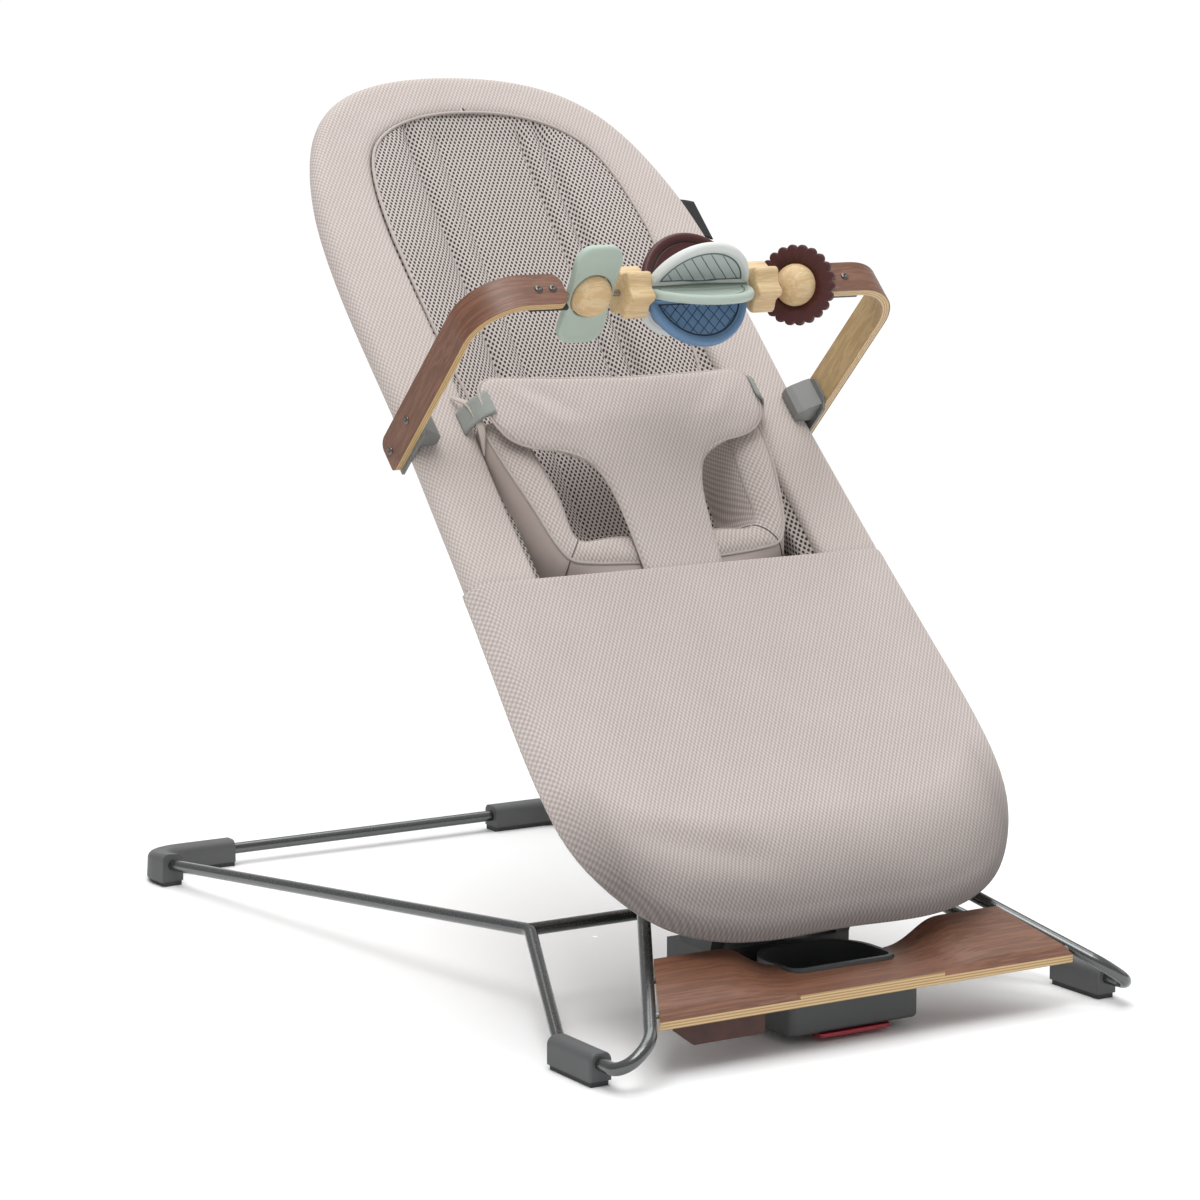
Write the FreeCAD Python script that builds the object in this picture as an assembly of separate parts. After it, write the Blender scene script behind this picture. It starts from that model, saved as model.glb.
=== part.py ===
"""Bouncer seat: bent wire base, plywood foot board, reclining fabric seat and a toy bar.

Millimetres. Origin on the floor at the middle of the base, +Z up, +Y towards the head end,
X across the seat. The object is drawn in its rest position.
"""
import math
import os

import FreeCAD, Part

V = FreeCAD.Vector
os.makedirs("parts", exist_ok=True)

# ---------------------------------------------------------------- driving sizes
# the drawing's y = 0 sits this far behind the middle of the footprint
middle_y = -4.6

# base wire
wire_r = 4.8
rear_y = 382.0
rear_z = 13.5
rear_corner_x = 212.0
rear_corner_bend = 32.0
rear_join_x = 140.0
side_bend_x = 161.0
side_bend_y = -174.0
side_bend_z = 61.5
side_bend_radius = 18.0
front_wire_x = 221.0
front_wire_z = 15.6
front_foot_back_y = -311.0
front_foot_length = 58.0
loop_front_y = -397.0
rise_x = 188.9
rise_y = -379.7
rise_z = 40.8
rise_inward = 30.5
rise_slope = 21.65
rise_length = 150.0

# feet
foot_width = 18.0
foot_top_z = 24.3
sole_height = 4.0
sole_inset = 2.0
rear_foot_inner_x = 130.0
rear_foot_front_y = 333.0
rear_foot_width = 20.0

# foot board
board_front_y = -378.6
board_rear_y = -324.6
board_front_half = 180.0
board_rear_half = 150.6
board_front_z = 35.5
board_wing_rise = 26.1
board_dip_rise = 8.5
board_thickness = 9.0
dip_half = 50.0
wing_start = 96.0
edge_bevel = 3.2
bevel_start_x = 63.0

# housing and well
housing_half = 57.5
housing_front_y = -357.0
housing_bottom_z = 7.0
housing_top_z = 36.0
cap_top_z = 38.4
well_half = 47.0
well_front_y = -346.0
well_rear_y = -276.0
well_wall = 3.5
well_floor_z = 20.0
well_rim_z = 52.5
board_well_gap = 0.6
hub_half = 50.0
hub_front_y = -262.0
hub_rear_y = -205.0
hub_floor_z = 22.0
hub_top_z = 50.0
bracket_thickness = 12.0
bracket_top_z = 117.0

# hub axle and rocker
axle_y = -228.0
axle_z = 98.0
axle_r = 6.0
running_gap = 0.05
rocker_half = 23.6
rocker_front = 35.0
rocker_rear = 17.0
rocker_below = 44.0
rocker_above = 19.0

# red release
release_half = 31.0
release_travel = 5.0
release_gap = 0.4

# leather tag
tag_left_x = -160.0
tag_right_x = -88.0
tag_bottom_z = 19.0
tag_thickness = 3.0

# seat plane: passes the seat origin, tilted about X
seat_tilt = 45.41
seat_y = -133.0
seat_z = 311.4

# seat outline: (half width, distance up the seat) from foot end to head end
outline_stations = [
    (0.0, -313.0),
    (104.0, -309.0),
    (147.0, -289.0),
    (172.0, -261.0),
    (188.0, -226.0),
    (193.5, -180.0),
    (190.0, -85.0),
    (184.6, 0.0),
    (180.4, 90.0),
    (178.2, 150.0),
    (173.8, 335.0),
    (168.0, 375.0),
    (156.0, 418.0),
    (134.0, 462.0),
    (107.0, 488.0),
    (62.0, 506.5),
    (0.0, 512.8),
]
cover_thickness = 21.0
sleeve_proud = 3.0
hoop_r = 7.5
hoop_inset = 10.5
hoop_depth = 10.5
cross_tube_r = 7.0
cloth_gap = 0.1

# back pad: (half width, distance up the seat) and (distance up the seat, depth of its top)
pad_stations = [
    (0.0, -64.0),
    (70.0, -64.0),
    (108.0, -52.0),
    (124.0, 0.0),
    (119.0, 100.0),
    (116.0, 180.0),
    (117.0, 330.0),
    (110.0, 398.0),
    (97.0, 430.0),
    (72.0, 452.0),
    (40.0, 464.0),
    (0.0, 468.0),
]
pad_sag = [
    (-62.0, -24.0),
    (-20.0, -46.0),
    (30.0, -53.0),
    (100.0, -46.0),
    (200.0, -30.0),
    (300.0, -17.0),
    (400.0, -8.0),
    (468.0, -3.0),
]
pad_thickness = 10.0
gusset_thickness = 3.0
gusset_top_s = 262.0

# infant insert
insert_half = 111.0
insert_inner_half = 74.0
insert_top_s = 142.0
insert_seat_s = 34.0
insert_top_h = -14.0

# harness panel: (half width, distance up the seat) of its edge and (distance, height)
harness_edge = [
    (34.0, 0.3),
    (35.0, 25.0),
    (38.5, 60.0),
    (44.0, 80.0),
    (54.0, 94.0),
    (70.0, 103.0),
    (88.0, 106.0),
    (104.0, 111.0),
    (115.0, 121.0),
    (120.5, 137.0),
    (121.0, 152.0),
    (116.0, 163.0),
    (105.0, 166.5),
    (60.0, 164.0),
    (0.0, 162.0),
]
harness_rise = [
    (0.3, 0.5),
    (30.0, 3.0),
    (60.0, 9.0),
    (95.0, 18.0),
    (125.0, 25.0),
    (170.0, 29.0),
]
harness_thickness = 5.0

# toy bar, in the plane square to the seat at bar_s
bar_s = 144.0
arm_width = 28.0
arm_outer_half = 188.2
arm_thickness = 6.4
arm_foot_h = -28.0
arm_top_h = 160.0
arm_bend = 42.0
clip_plate = 2.2
clip_inner_half = 163.0
rod_r = 2.5
rod_h = arm_top_h - 8.0

# toys, placed along the rod from the petal ball outward
ball_r = 16.6
bead_r = 19.8
bead_length = 20.5
petal_centre_x = 2.6
petal_half = 45.0
left_bead_x = petal_centre_x - petal_half - bead_length / 2 - 0.55
right_bead_x = petal_centre_x + petal_half + bead_length / 2 + 1.55
left_ball_x = left_bead_x - bead_length / 2 - ball_r - 8.95
right_ball_x = right_bead_x + bead_length / 2 + ball_r + 9.25
arm_end_half = ball_r - left_ball_x + 7.9
petal_reach = 44.5
petal_thickness = 7.0
petal_hub_r = 7.0
first_petal = 53.0
bow_angle = 62.0
flower_r = 28.4
flower_turn = 53.0
flower_lift = 6.0
flower_thickness = 6.0

# ---------------------------------------------------------------- helpers
tilt = math.radians(seat_tilt)
seat_up = V(0, math.cos(tilt), math.sin(tilt))
seat_normal = V(0, -math.sin(tilt), math.cos(tilt))


def save(shape, node):
    placed = shape.copy()
    placed.translate(V(0, -middle_y, 0))
    placed.exportStep("parts/" + node + ".step")


def to_seat(shape):
    placed = shape.copy()
    placed.rotate(V(0, 0, 0), V(1, 0, 0), seat_tilt)
    placed.translate(V(0, seat_y, seat_z))
    return placed


def mirrored(shape):
    return shape.mirror(V(0, 0, 0), V(1, 0, 0))


def box(x0, x1, y0, y1, z0, z1):
    return Part.makeBox(x1 - x0, y1 - y0, z1 - z0, V(x0, y0, z0))


def unit(vector):
    return vector * (1.0 / vector.Length)


def bent_path(points, radii):
    """Wire through the points with each inner corner rounded to its bend radius."""
    edges = []
    last = points[0]
    for i in range(1, len(points) - 1):
        before = unit(points[i] - points[i - 1])
        after = unit(points[i + 1] - points[i])
        half = before.getAngle(after) / 2
        run = radii[i - 1] * math.tan(half)
        start = points[i] - before * run
        end = points[i] + after * run
        middle = points[i] + unit(after - before) * (radii[i - 1] / math.cos(half) - radii[i - 1])
        edges.append(Part.makeLine(last, start))
        edges.append(Part.Arc(start, middle, end).toShape())
        last = end
    edges.append(Part.makeLine(last, points[-1]))
    return Part.Wire(edges)


def pipe(path, radius):
    start = path.OrderedEdges[0]
    first = start.valueAt(start.FirstParameter)
    along = start.tangentAt(start.FirstParameter)
    ring = Part.Wire([Part.makeCircle(radius, first, along)])
    return path.makePipeShell([ring], True, False)


def spline(points):
    curve = Part.BSplineCurve()
    curve.interpolate(points)
    return curve.toShape()


def closed_curve(stations):
    """Smooth closed curve through the stations and their mirror images, in the XY plane."""
    right = [V(x, s, 0) for x, s in stations]
    left = [V(-x, s, 0) for x, s in reversed(stations[1:-1])]
    curve = Part.BSplineCurve()
    curve.interpolate(Points=right + left, PeriodicFlag=True)
    return curve


def grown(curve, distance):
    """The closed curve moved outwards by the distance."""
    count = 56
    step = (curve.LastParameter - curve.FirstParameter) / count
    points = []
    for i in range(count):
        at = curve.FirstParameter + i * step
        along = curve.tangent(at)[0]
        points.append(curve.value(at) + V(along.y, -along.x, 0) * distance)
    moved = Part.BSplineCurve()
    moved.interpolate(Points=points, PeriodicFlag=True)
    return moved


def prism(curve, low, high):
    face = Part.Face(Part.Wire([curve.toShape()]))
    face.translate(V(0, 0, low))
    return face.extrude(V(0, 0, high - low))


def plan_prism(stations, low, high):
    """Solid over an area with straight ends, mirrored about the middle."""
    right = [V(x, s, low) for x, s in stations]
    left = [V(-x, s, low) for x, s in stations]
    edges = [spline(right), spline(left)]
    edges.append(Part.makeLine(left[0], right[0]))
    if right[-1].x > 0:
        edges.append(Part.makeLine(left[-1], right[-1]))
    face = Part.Face(Part.Wire(Part.__sortEdges__(edges)))
    return face.extrude(V(0, 0, high - low))


def side_sheet(profile, depth, half):
    """Sheet that follows (distance, height) points and runs across the seat."""
    top = [V(-half, s, h) for s, h in profile]
    low = [V(-half, s, h - depth) for s, h in profile]
    edges = [spline(top), spline(low)]
    edges.append(Part.makeLine(top[0], low[0]))
    edges.append(Part.makeLine(top[-1], low[-1]))
    face = Part.Face(Part.Wire(Part.__sortEdges__(edges)))
    return face.extrude(V(2 * half, 0, 0))


def above_sheet(profile, drop, half):
    """Solid over a (distance, height) curve moved down by drop."""
    roof = 80.0
    low = [V(-half, s, h - drop) for s, h in profile]
    corner = V(-half, profile[0][0], roof)
    far = V(-half, profile[-1][0], roof)
    edges = [spline(low)]
    edges.append(Part.makeLine(low[0], corner))
    edges.append(Part.makeLine(corner, far))
    edges.append(Part.makeLine(far, low[-1]))
    face = Part.Face(Part.Wire(Part.__sortEdges__(edges)))
    return face.extrude(V(2 * half, 0, 0))


def rounded(shape, radius, picks):
    """Round the edges whose middle point passes the test."""
    edges = []
    for edge in shape.Edges:
        middle = edge.valueAt((edge.FirstParameter + edge.LastParameter) / 2)
        if picks(edge, middle):
            edges.append(edge)
    return shape.makeFillet(radius, edges)


# ---------------------------------------------------------------- base wire
inward = math.radians(rise_inward)
slope = math.radians(rise_slope)
rise = V(-math.sin(inward) * math.cos(slope), math.cos(inward) * math.cos(slope), math.sin(slope))
rise_start = V(rise_x, rise_y, rise_z)
front_foot_front_y = front_foot_back_y - front_foot_length
wire_points = [
    V(rear_join_x, rear_y, rear_z),
    V(rear_corner_x, rear_y, rear_z),
    V(side_bend_x, side_bend_y, side_bend_z),
    V(front_wire_x, front_foot_back_y - 4, front_wire_z),
    V(front_wire_x + 1, loop_front_y, front_wire_z + 1),
    rise_start - rise * 20,
    rise_start + rise * rise_length,
]
hub_entry = rise_start + rise * rise_length
wire_points.append(V(hub_half + 2, hub_entry.y, hub_entry.z))
wire_bends = [rear_corner_bend, side_bend_radius, 12.0, 14.0, 26.0, 22.0]
right_wire_path = bent_path(wire_points, wire_bends)
side_tube_right = pipe(right_wire_path, wire_r)
side_tube_left = mirrored(side_tube_right)
save(side_tube_right, "side_tube_right")
save(side_tube_left, "side_tube_left")

rear_tube = Part.makeCylinder(wire_r, 2 * rear_join_x, V(-rear_join_x, rear_y, rear_z), V(1, 0, 0))
save(rear_tube, "rear_tube")

cross_tube = Part.makeCylinder(
    wire_r, 2 * side_bend_x, V(-side_bend_x, side_bend_y + 1, side_bend_z), V(1, 0, 0)
)
cross_tube = cross_tube.cut(side_tube_right).cut(side_tube_left)
cross_tube = max(cross_tube.Solids, key=lambda solid: solid.Volume)
save(cross_tube, "crossbar")

# ---------------------------------------------------------------- front feet
foot_x0 = front_wire_x + 0.3 - foot_width / 2
foot_x1 = foot_x0 + foot_width
foot_body = box(foot_x0, foot_x1, front_foot_front_y, front_foot_back_y, sole_height, foot_top_z)
foot_body = rounded(foot_body, 6.5, lambda e, m: m.z > foot_top_z - 1 and abs(m.y + 340) < 5)
foot_body = rounded(foot_body, 2.0, lambda e, m: m.z > foot_top_z - 1 and abs(m.y + 340) > 25)
foot_body = foot_body.cut(side_tube_right)
foot_body = max(foot_body.Solids, key=lambda solid: solid.Volume)
foot_sole = box(
    foot_x0 + sole_inset,
    foot_x1 - sole_inset,
    front_foot_front_y + sole_inset,
    front_foot_back_y - sole_inset,
    0,
    sole_height,
)
save(foot_body, "front_foot_right")
save(mirrored(foot_body), "front_foot_left")
save(foot_sole, "front_sole_right")
save(mirrored(foot_sole), "front_sole_left")

# ---------------------------------------------------------------- rear corner feet
toward_bend = unit(wire_points[2] - wire_points[1])
leg_end = wire_points[1] + toward_bend * ((rear_y - rear_foot_front_y) / -toward_bend.y)
corner_path = bent_path(
    [V(rear_foot_inner_x, rear_y, rear_z), wire_points[1], leg_end], [rear_corner_bend]
)
half_foot = rear_foot_width / 2
round_r = 6.0


def corner_profile(half, low, high, radius):
    """Upright section at the inner end of the rear foot, rounded on top."""
    x = rear_foot_inner_x
    a = V(x, rear_y - half, low)
    b = V(x, rear_y - half, high - radius)
    c = V(x, rear_y - half + radius, high)
    d = V(x, rear_y + half - radius, high)
    e = V(x, rear_y + half, high - radius)
    f = V(x, rear_y + half, low)
    cut = radius * (1 - math.sqrt(0.5))
    edges = [
        Part.makeLine(a, b),
        Part.Arc(b, V(x, rear_y - half + cut, high - cut), c).toShape(),
        Part.makeLine(c, d),
        Part.Arc(d, V(x, rear_y + half - cut, high - cut), e).toShape(),
        Part.makeLine(e, f),
        Part.makeLine(f, a),
    ]
    return Part.Wire(edges)


rear_foot = corner_path.makePipeShell(
    [corner_profile(half_foot, rear_z - 16, rear_z + 9.3, round_r)], True, False
)
rear_foot = rear_foot.cut(box(0, 300, 200, 450, -40, sole_height))
rear_foot = rear_foot.cut(side_tube_right).cut(rear_tube)
rear_foot = max(rear_foot.Solids, key=lambda solid: solid.Volume)
flat_path = bent_path(
    [V(rear_foot_inner_x, rear_y, rear_z), V(rear_corner_x, rear_y, rear_z), V(leg_end.x, leg_end.y, rear_z)],
    [rear_corner_bend],
)
rear_sole = flat_path.makePipeShell(
    [corner_profile(half_foot - sole_inset, 0, sole_height, 0.5)], True, False
)
save(rear_foot, "rear_foot_right")
save(mirrored(rear_foot), "rear_foot_left")
save(rear_sole, "rear_sole_right")
save(mirrored(rear_sole), "rear_sole_left")

# ---------------------------------------------------------------- foot board


def board_rise(x):
    """Height gained from front edge to rear edge at a distance from the middle."""
    share = (abs(x) - dip_half) / (wing_start - dip_half)
    share = min(1.0, max(0.0, share))
    smooth = share * share * (3 - 2 * share)
    return board_dip_rise + (board_wing_rise - board_dip_rise) * smooth


def board_section(y, half, lift):
    count = 24
    low = []
    high = []
    for i in range(count + 1):
        across = (2.0 * i / count - 1.0)
        z = board_front_z + lift * board_rise(across * board_rear_half)
        low.append(V(across * half, y, z))
        high.append(V(across * half, y, z + board_thickness))
    return Part.Wire(
        [
            spline(low),
            Part.makeLine(low[-1], high[-1]),
            spline(list(reversed(high))),
            Part.makeLine(high[0], low[0]),
        ]
    )


board_sections = [
    board_section(board_front_y, board_front_half, 0.0),
    board_section(board_rear_y, board_rear_half, 1.0),
]
board = Part.makeLoft(board_sections, True, True)


def well_curve(margin, z):
    """D-shaped outline of the well, grown by a margin."""
    half = well_half + margin
    front = well_front_y - margin
    rear = well_rear_y + margin
    corner = 12.0 + margin
    back = 36.0 + margin
    fc = corner * (1 - math.sqrt(0.5))
    bc = back * (1 - math.sqrt(0.5))
    edges = [
        Part.makeLine(V(-half + corner, front, z), V(half - corner, front, z)),
        Part.Arc(
            V(half - corner, front, z), V(half - fc, front + fc, z), V(half, front + corner, z)
        ).toShape(),
        Part.makeLine(V(half, front + corner, z), V(half, rear - back, z)),
        Part.Arc(V(half, rear - back, z), V(half - bc, rear - bc, z), V(half - back, rear, z)).toShape(),
        Part.makeLine(V(half - back, rear, z), V(-half + back, rear, z)),
        Part.Arc(V(-half + back, rear, z), V(-half + bc, rear - bc, z), V(-half, rear - back, z)).toShape(),
        Part.makeLine(V(-half, rear - back, z), V(-half, front + corner, z)),
        Part.Arc(
            V(-half, front + corner, z), V(-half + fc, front + fc, z), V(-half + corner, front, z)
        ).toShape(),
    ]
    return Part.Wire(edges)


def well_prism(margin, low, high):
    return Part.Face(well_curve(margin, low)).extrude(V(0, 0, high - low))


board = board.cut(well_prism(board_well_gap, 0, 100))
bevel_run = 8.0
bevel_face = Part.Face(
    Part.makePolygon(
        [
            V(bevel_start_x, board_front_y - 1, board_front_z + board_thickness - edge_bevel - 1),
            V(bevel_start_x, board_front_y + bevel_run, board_front_z + board_thickness + 4.4),
            V(bevel_start_x, board_front_y + bevel_run, board_front_z + board_thickness + 20),
            V(bevel_start_x, board_front_y - 1, board_front_z + board_thickness + 20),
            V(bevel_start_x, board_front_y - 1, board_front_z + board_thickness - edge_bevel - 1),
        ]
    )
)
bevel = bevel_face.extrude(V(board_front_half, 0, 0))
board = board.cut(bevel).cut(mirrored(bevel))

pin_r = 2.2
pin_length = 15.0
pins = []
for reach in (10.0, 50.0):
    centre = rise_start + rise * reach
    pin = Part.makeCylinder(pin_r, pin_length, centre, V(-1, 0, 0))
    pins.append(pin.cut(side_tube_right))
pin_group = Part.makeCompound(pins + [mirrored(pin) for pin in pins])
for pin in pin_group.Solids:
    board = board.cut(pin)
board = max(board.Solids, key=lambda solid: solid.Volume)
save(board, "foot_board")
save(pin_group, "board_pins")

# ---------------------------------------------------------------- housing, well and hub brackets
housing = box(-housing_half, housing_half, housing_front_y, hub_front_y, housing_bottom_z, housing_top_z)
housing = rounded(housing, 7.0, lambda e, m: abs(m.z - 21.5) < 2 and m.y < housing_front_y + 1)
housing = rounded(housing, 3.0, lambda e, m: m.z < housing_bottom_z + 0.1 and m.y < hub_front_y - 1)
block_half = hub_half + bracket_thickness
rear_block = box(-block_half, block_half, hub_front_y, hub_rear_y, hub_floor_z, hub_top_z)
housing = housing.fuse(rear_block)
cup_outer = well_prism(0, well_floor_z - well_wall, well_rim_z)
cup_inner = well_prism(-well_wall, well_floor_z, well_rim_z + 10)
cap_plate = box(-housing_half + 1, housing_half - 1, housing_front_y + 4, hub_front_y, housing_top_z, cap_top_z)
housing_upper = cap_plate.fuse(cup_outer).cut(cup_inner)
housing = housing.cut(well_prism(0, well_floor_z - well_wall, 100))
stem = [12.0, -330.0, -310.0]
pocket = box(
    -stem[0] - release_gap,
    stem[0] + release_gap,
    stem[1] - release_travel - release_gap,
    stem[2] + release_gap,
    housing_bottom_z - 1,
    15.0,
)
housing = housing.cut(pocket)
housing = max(housing.Solids, key=lambda solid: solid.Volume)
save(housing, "housing_lower")
save(housing_upper, "housing_upper")

release_plate = box(
    -release_half, release_half, housing_front_y - 1.5, -300, housing_bottom_z - 3.0, housing_bottom_z - release_gap
)
release_plate = rounded(release_plate, 4.0, lambda e, m: abs(e.tangentAt(e.FirstParameter).z) > 0.9)
release_stem = box(-stem[0], stem[0], stem[1], stem[2], housing_bottom_z - 1.5, 14.0)
save(release_plate.fuse(release_stem).removeSplitter(), "red_release")

bracket_points = [
    (hub_front_y, hub_top_z),
    (hub_front_y - 12, hub_top_z + 34),
    (hub_front_y - 12, bracket_top_z - 12),
    (hub_front_y, bracket_top_z),
    (hub_rear_y - 8, bracket_top_z),
    (hub_rear_y, bracket_top_z - 10),
    (hub_rear_y - 2, bracket_top_z - 32),
    (hub_rear_y - 20, hub_top_z),
    (hub_front_y, hub_top_z),
]
bracket_face = Part.Face(Part.makePolygon([V(hub_half, y, z) for y, z in bracket_points]))
bracket = bracket_face.extrude(V(bracket_thickness, 0, 0))
bracket = rounded(bracket, 5.0, lambda e, m: abs(m.x - hub_half - bracket_thickness / 2) < 1 and m.z > 60)
axle_shaft = Part.makeCylinder(
    axle_r, 2 * (hub_half + bracket_thickness), V(-hub_half - bracket_thickness, axle_y, axle_z), V(1, 0, 0)
)
bracket = bracket.cut(axle_shaft).cut(side_tube_right)
bracket = max(bracket.Solids, key=lambda solid: solid.Volume)
save(bracket, "hub_bracket_right")
save(mirrored(bracket), "hub_bracket_left")

axle_cap = Part.makeCylinder(9.5, 4, V(hub_half + bracket_thickness, axle_y, axle_z), V(1, 0, 0))
axle_cap = axle_cap.makeChamfer(1.2, [axle_cap.Edges[0]])
axle = axle_shaft.fuse(axle_cap).fuse(mirrored(axle_cap)).removeSplitter()
save(axle, "hub_axle")

# ---------------------------------------------------------------- leather tag
tag_y = -371.0
tag_points = [
    V(tag_left_x - 3, tag_y, 44),
    V(tag_left_x - 3, tag_y, tag_bottom_z + 12),
    V(tag_left_x + 13, tag_y, tag_bottom_z),
    V(tag_right_x - 1, tag_y, tag_bottom_z),
    V(tag_right_x, tag_y, tag_bottom_z + 2),
    V(tag_right_x, tag_y, 44),
    V(tag_left_x - 3, tag_y, 44),
]
tag = Part.Face(Part.makePolygon(tag_points)).extrude(V(0, tag_thickness, 0))
tag = tag.cut(board)
tag = min(tag.Solids, key=lambda solid: solid.BoundBox.ZMin)
save(tag, "leather_tag")

# ---------------------------------------------------------------- rocker on the axle
rocker = box(
    -rocker_half, rocker_half, axle_y - rocker_front, axle_y + rocker_rear,
    axle_z - rocker_below, axle_z + rocker_above,
)
rocker = rounded(rocker, 5.0, lambda e, m: abs(m.x) < 1)
for lower in (62.0, 74.0, 86.0):
    groove = box(-14, 17, axle_y - rocker_front - 1, axle_y - rocker_front + 4, lower, lower + 7)
    rocker = rocker.cut(groove)
running_bore = Part.makeCylinder(axle_r + running_gap, 200, V(-100, axle_y, axle_z), V(1, 0, 0))
rocker = rocker.cut(running_bore)
save(rocker, "rocker_block")

# ---------------------------------------------------------------- seat frame
axle_from_seat = V(0, axle_y - seat_y, axle_z - seat_z)
axle_s = axle_from_seat.dot(seat_up)
axle_h = axle_from_seat.dot(seat_normal)
outline = closed_curve(outline_stations)
hoop_line = grown(outline, -hoop_inset)


def crossing(curve, s, rising):
    """Parameter where the curve passes the distance s on its rising or falling side."""
    low = curve.FirstParameter
    high = curve.LastParameter
    middle = (low + high) / 2
    start, end = (low, middle) if rising else (middle, high)
    for _ in range(40):
        guess = (start + end) / 2
        if (curve.value(guess).y < s) == rising:
            start = guess
        else:
            end = guess
    return (start + end) / 2


hoop_split = 12.0
right_at = crossing(hoop_line, hoop_split, True)
left_at = crossing(hoop_line, hoop_split, False)
top_points = []
low_points = []
span = hoop_line.LastParameter - hoop_line.FirstParameter
for i in range(33):
    at = right_at + (left_at - right_at) * i / 32
    point = hoop_line.value(at)
    top_points.append(V(point.x, point.y, -hoop_depth))
    at = left_at + (right_at + span - left_at) * i / 32
    if at > hoop_line.LastParameter:
        at = at - span
    point = hoop_line.value(at)
    low_points.append(V(point.x, point.y, -hoop_depth))
top_path = Part.Wire([spline(top_points)])
low_path = Part.Wire([spline(low_points)])
hoop_upper = pipe(top_path, hoop_r)
hoop_lower = pipe(low_path, hoop_r)
hoop_room = [pipe(top_path, hoop_r + cloth_gap), pipe(low_path, hoop_r + cloth_gap)]
hoop_side = box(-300, 300, hoop_split, 700, -60, 60)
hoop_upper = hoop_upper.common(hoop_side)
hoop_lower = hoop_lower.cut(hoop_side)
save(to_seat(hoop_upper), "hoop_upper")
save(to_seat(hoop_lower), "hoop_lower")

seat_tube = Part.makeCylinder(cross_tube_r, 400, V(-200, axle_s, -hoop_depth), V(1, 0, 0))
seat_tube = seat_tube.cut(hoop_lower)
seat_tube = min(seat_tube.Solids, key=lambda solid: abs(solid.CenterOfMass.x))
save(to_seat(seat_tube), "seat_cross_tube")

sleeve_floor = -cover_thickness - sleeve_proud
arm_in = rocker_half + 2.4
arm_out = arm_in + 10.0
plate_low = sleeve_floor - 7.0
seat_bracket = box(-40, 40, axle_s - 74, axle_s + 66, plate_low, sleeve_floor)
seat_bracket = rounded(seat_bracket, 12.0, lambda e, m: abs(e.tangentAt(e.FirstParameter).z) > 0.9)
for side in (-arm_out, arm_in):
    boss = Part.makeCylinder(17, arm_out - arm_in, V(side, axle_s, axle_h), V(1, 0, 0))
    web = box(side, side + arm_out - arm_in, axle_s - 17, axle_s + 17, axle_h, plate_low + 1)
    seat_bracket = seat_bracket.fuse(boss).fuse(web)
seat_bore = Part.makeCylinder(axle_r + running_gap, 200, V(-100, axle_s, axle_h), V(1, 0, 0))
seat_bracket = seat_bracket.cut(seat_bore).removeSplitter()
save(to_seat(seat_bracket), "seat_bracket")

saddles = []
saddle_rooms = []
for side in (-42.0, 22.0):
    saddle = box(side, side + 20, axle_s - 13, axle_s + 13, sleeve_floor, -hoop_depth)
    saddles.append(saddle.cut(seat_tube))
    saddle_rooms.append(box(side - 0.3, side + 20.3, axle_s - 13.3, axle_s + 13.3, sleeve_floor - 1, -hoop_depth))
save(to_seat(Part.makeCompound(saddles)), "bracket_saddles")

# ---------------------------------------------------------------- seat cloth parts
pad_curve = closed_curve(pad_stations)
pad_room = prism(grown(pad_curve, 1.0), -60, 40)
lower_half = box(-300, 300, -500, 0.0, -80, 80)
cover_upper = prism(outline, -cover_thickness, 0)
cover_upper = cover_upper.cut(lower_half).cut(pad_room).cut(hoop_room[0]).cut(hoop_room[1])
cover_upper = max(cover_upper.Solids, key=lambda solid: solid.Volume)
save(to_seat(cover_upper), "cover_upper")

leg_panel = prism(grown(outline, sleeve_proud), sleeve_floor, sleeve_proud)
tube_room = Part.makeCylinder(cross_tube_r + cloth_gap, 400, V(-200, axle_s, -hoop_depth), V(1, 0, 0))
leg_panel = leg_panel.common(lower_half).cut(hoop_room[1])
leg_panel = leg_panel.cut(tube_room.common(prism(hoop_line, -60, 60)))
for room in saddle_rooms:
    leg_panel = leg_panel.cut(room)
leg_panel = max(leg_panel.Solids, key=lambda solid: solid.Volume)
save(to_seat(leg_panel), "leg_panel")

pad_plan = prism(pad_curve, -90, 20)
back_pad = side_sheet(pad_sag, pad_thickness, 140).common(pad_plan).cut(leg_panel)
back_pad = max(back_pad.Solids, key=lambda solid: solid.Volume)
save(to_seat(back_pad), "back_pad")

gusset_band = prism(grown(pad_curve, gusset_thickness), -90, 0)
gusset_band = gusset_band.cut(prism(grown(pad_curve, 2 * cloth_gap), -91, 1))
gusset_wall = above_sheet(pad_sag, pad_thickness, 140)
gussets = gusset_band.common(gusset_wall).cut(leg_panel).cut(back_pad)
gusset_right = gussets.common(box(60, 200, pad_stations[0][1] + 3, gusset_top_s, -90, -cover_thickness))
gusset_right = max(gusset_right.Solids, key=lambda solid: solid.Volume)
save(to_seat(gusset_right), "gusset_right")
save(to_seat(mirrored(gusset_right)), "gusset_left")

insert_plan = box(-insert_half, insert_half, 2, insert_top_s, -90, insert_top_h)
insert_plan = rounded(insert_plan, 18.0, lambda e, m: abs(e.tangentAt(e.FirstParameter).z) > 0.9)
insert_hollow = box(-insert_inner_half, insert_inner_half, insert_seat_s, insert_top_s + 20, -100, 10)
insert_plan = insert_plan.cut(insert_hollow)
insert_side = above_sheet(pad_sag, -0.3, 140)
insert_cushion = insert_plan.common(insert_side)
insert_cushion = max(insert_cushion.Solids, key=lambda solid: solid.Volume)
save(to_seat(insert_cushion), "insert_cushion")

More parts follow.
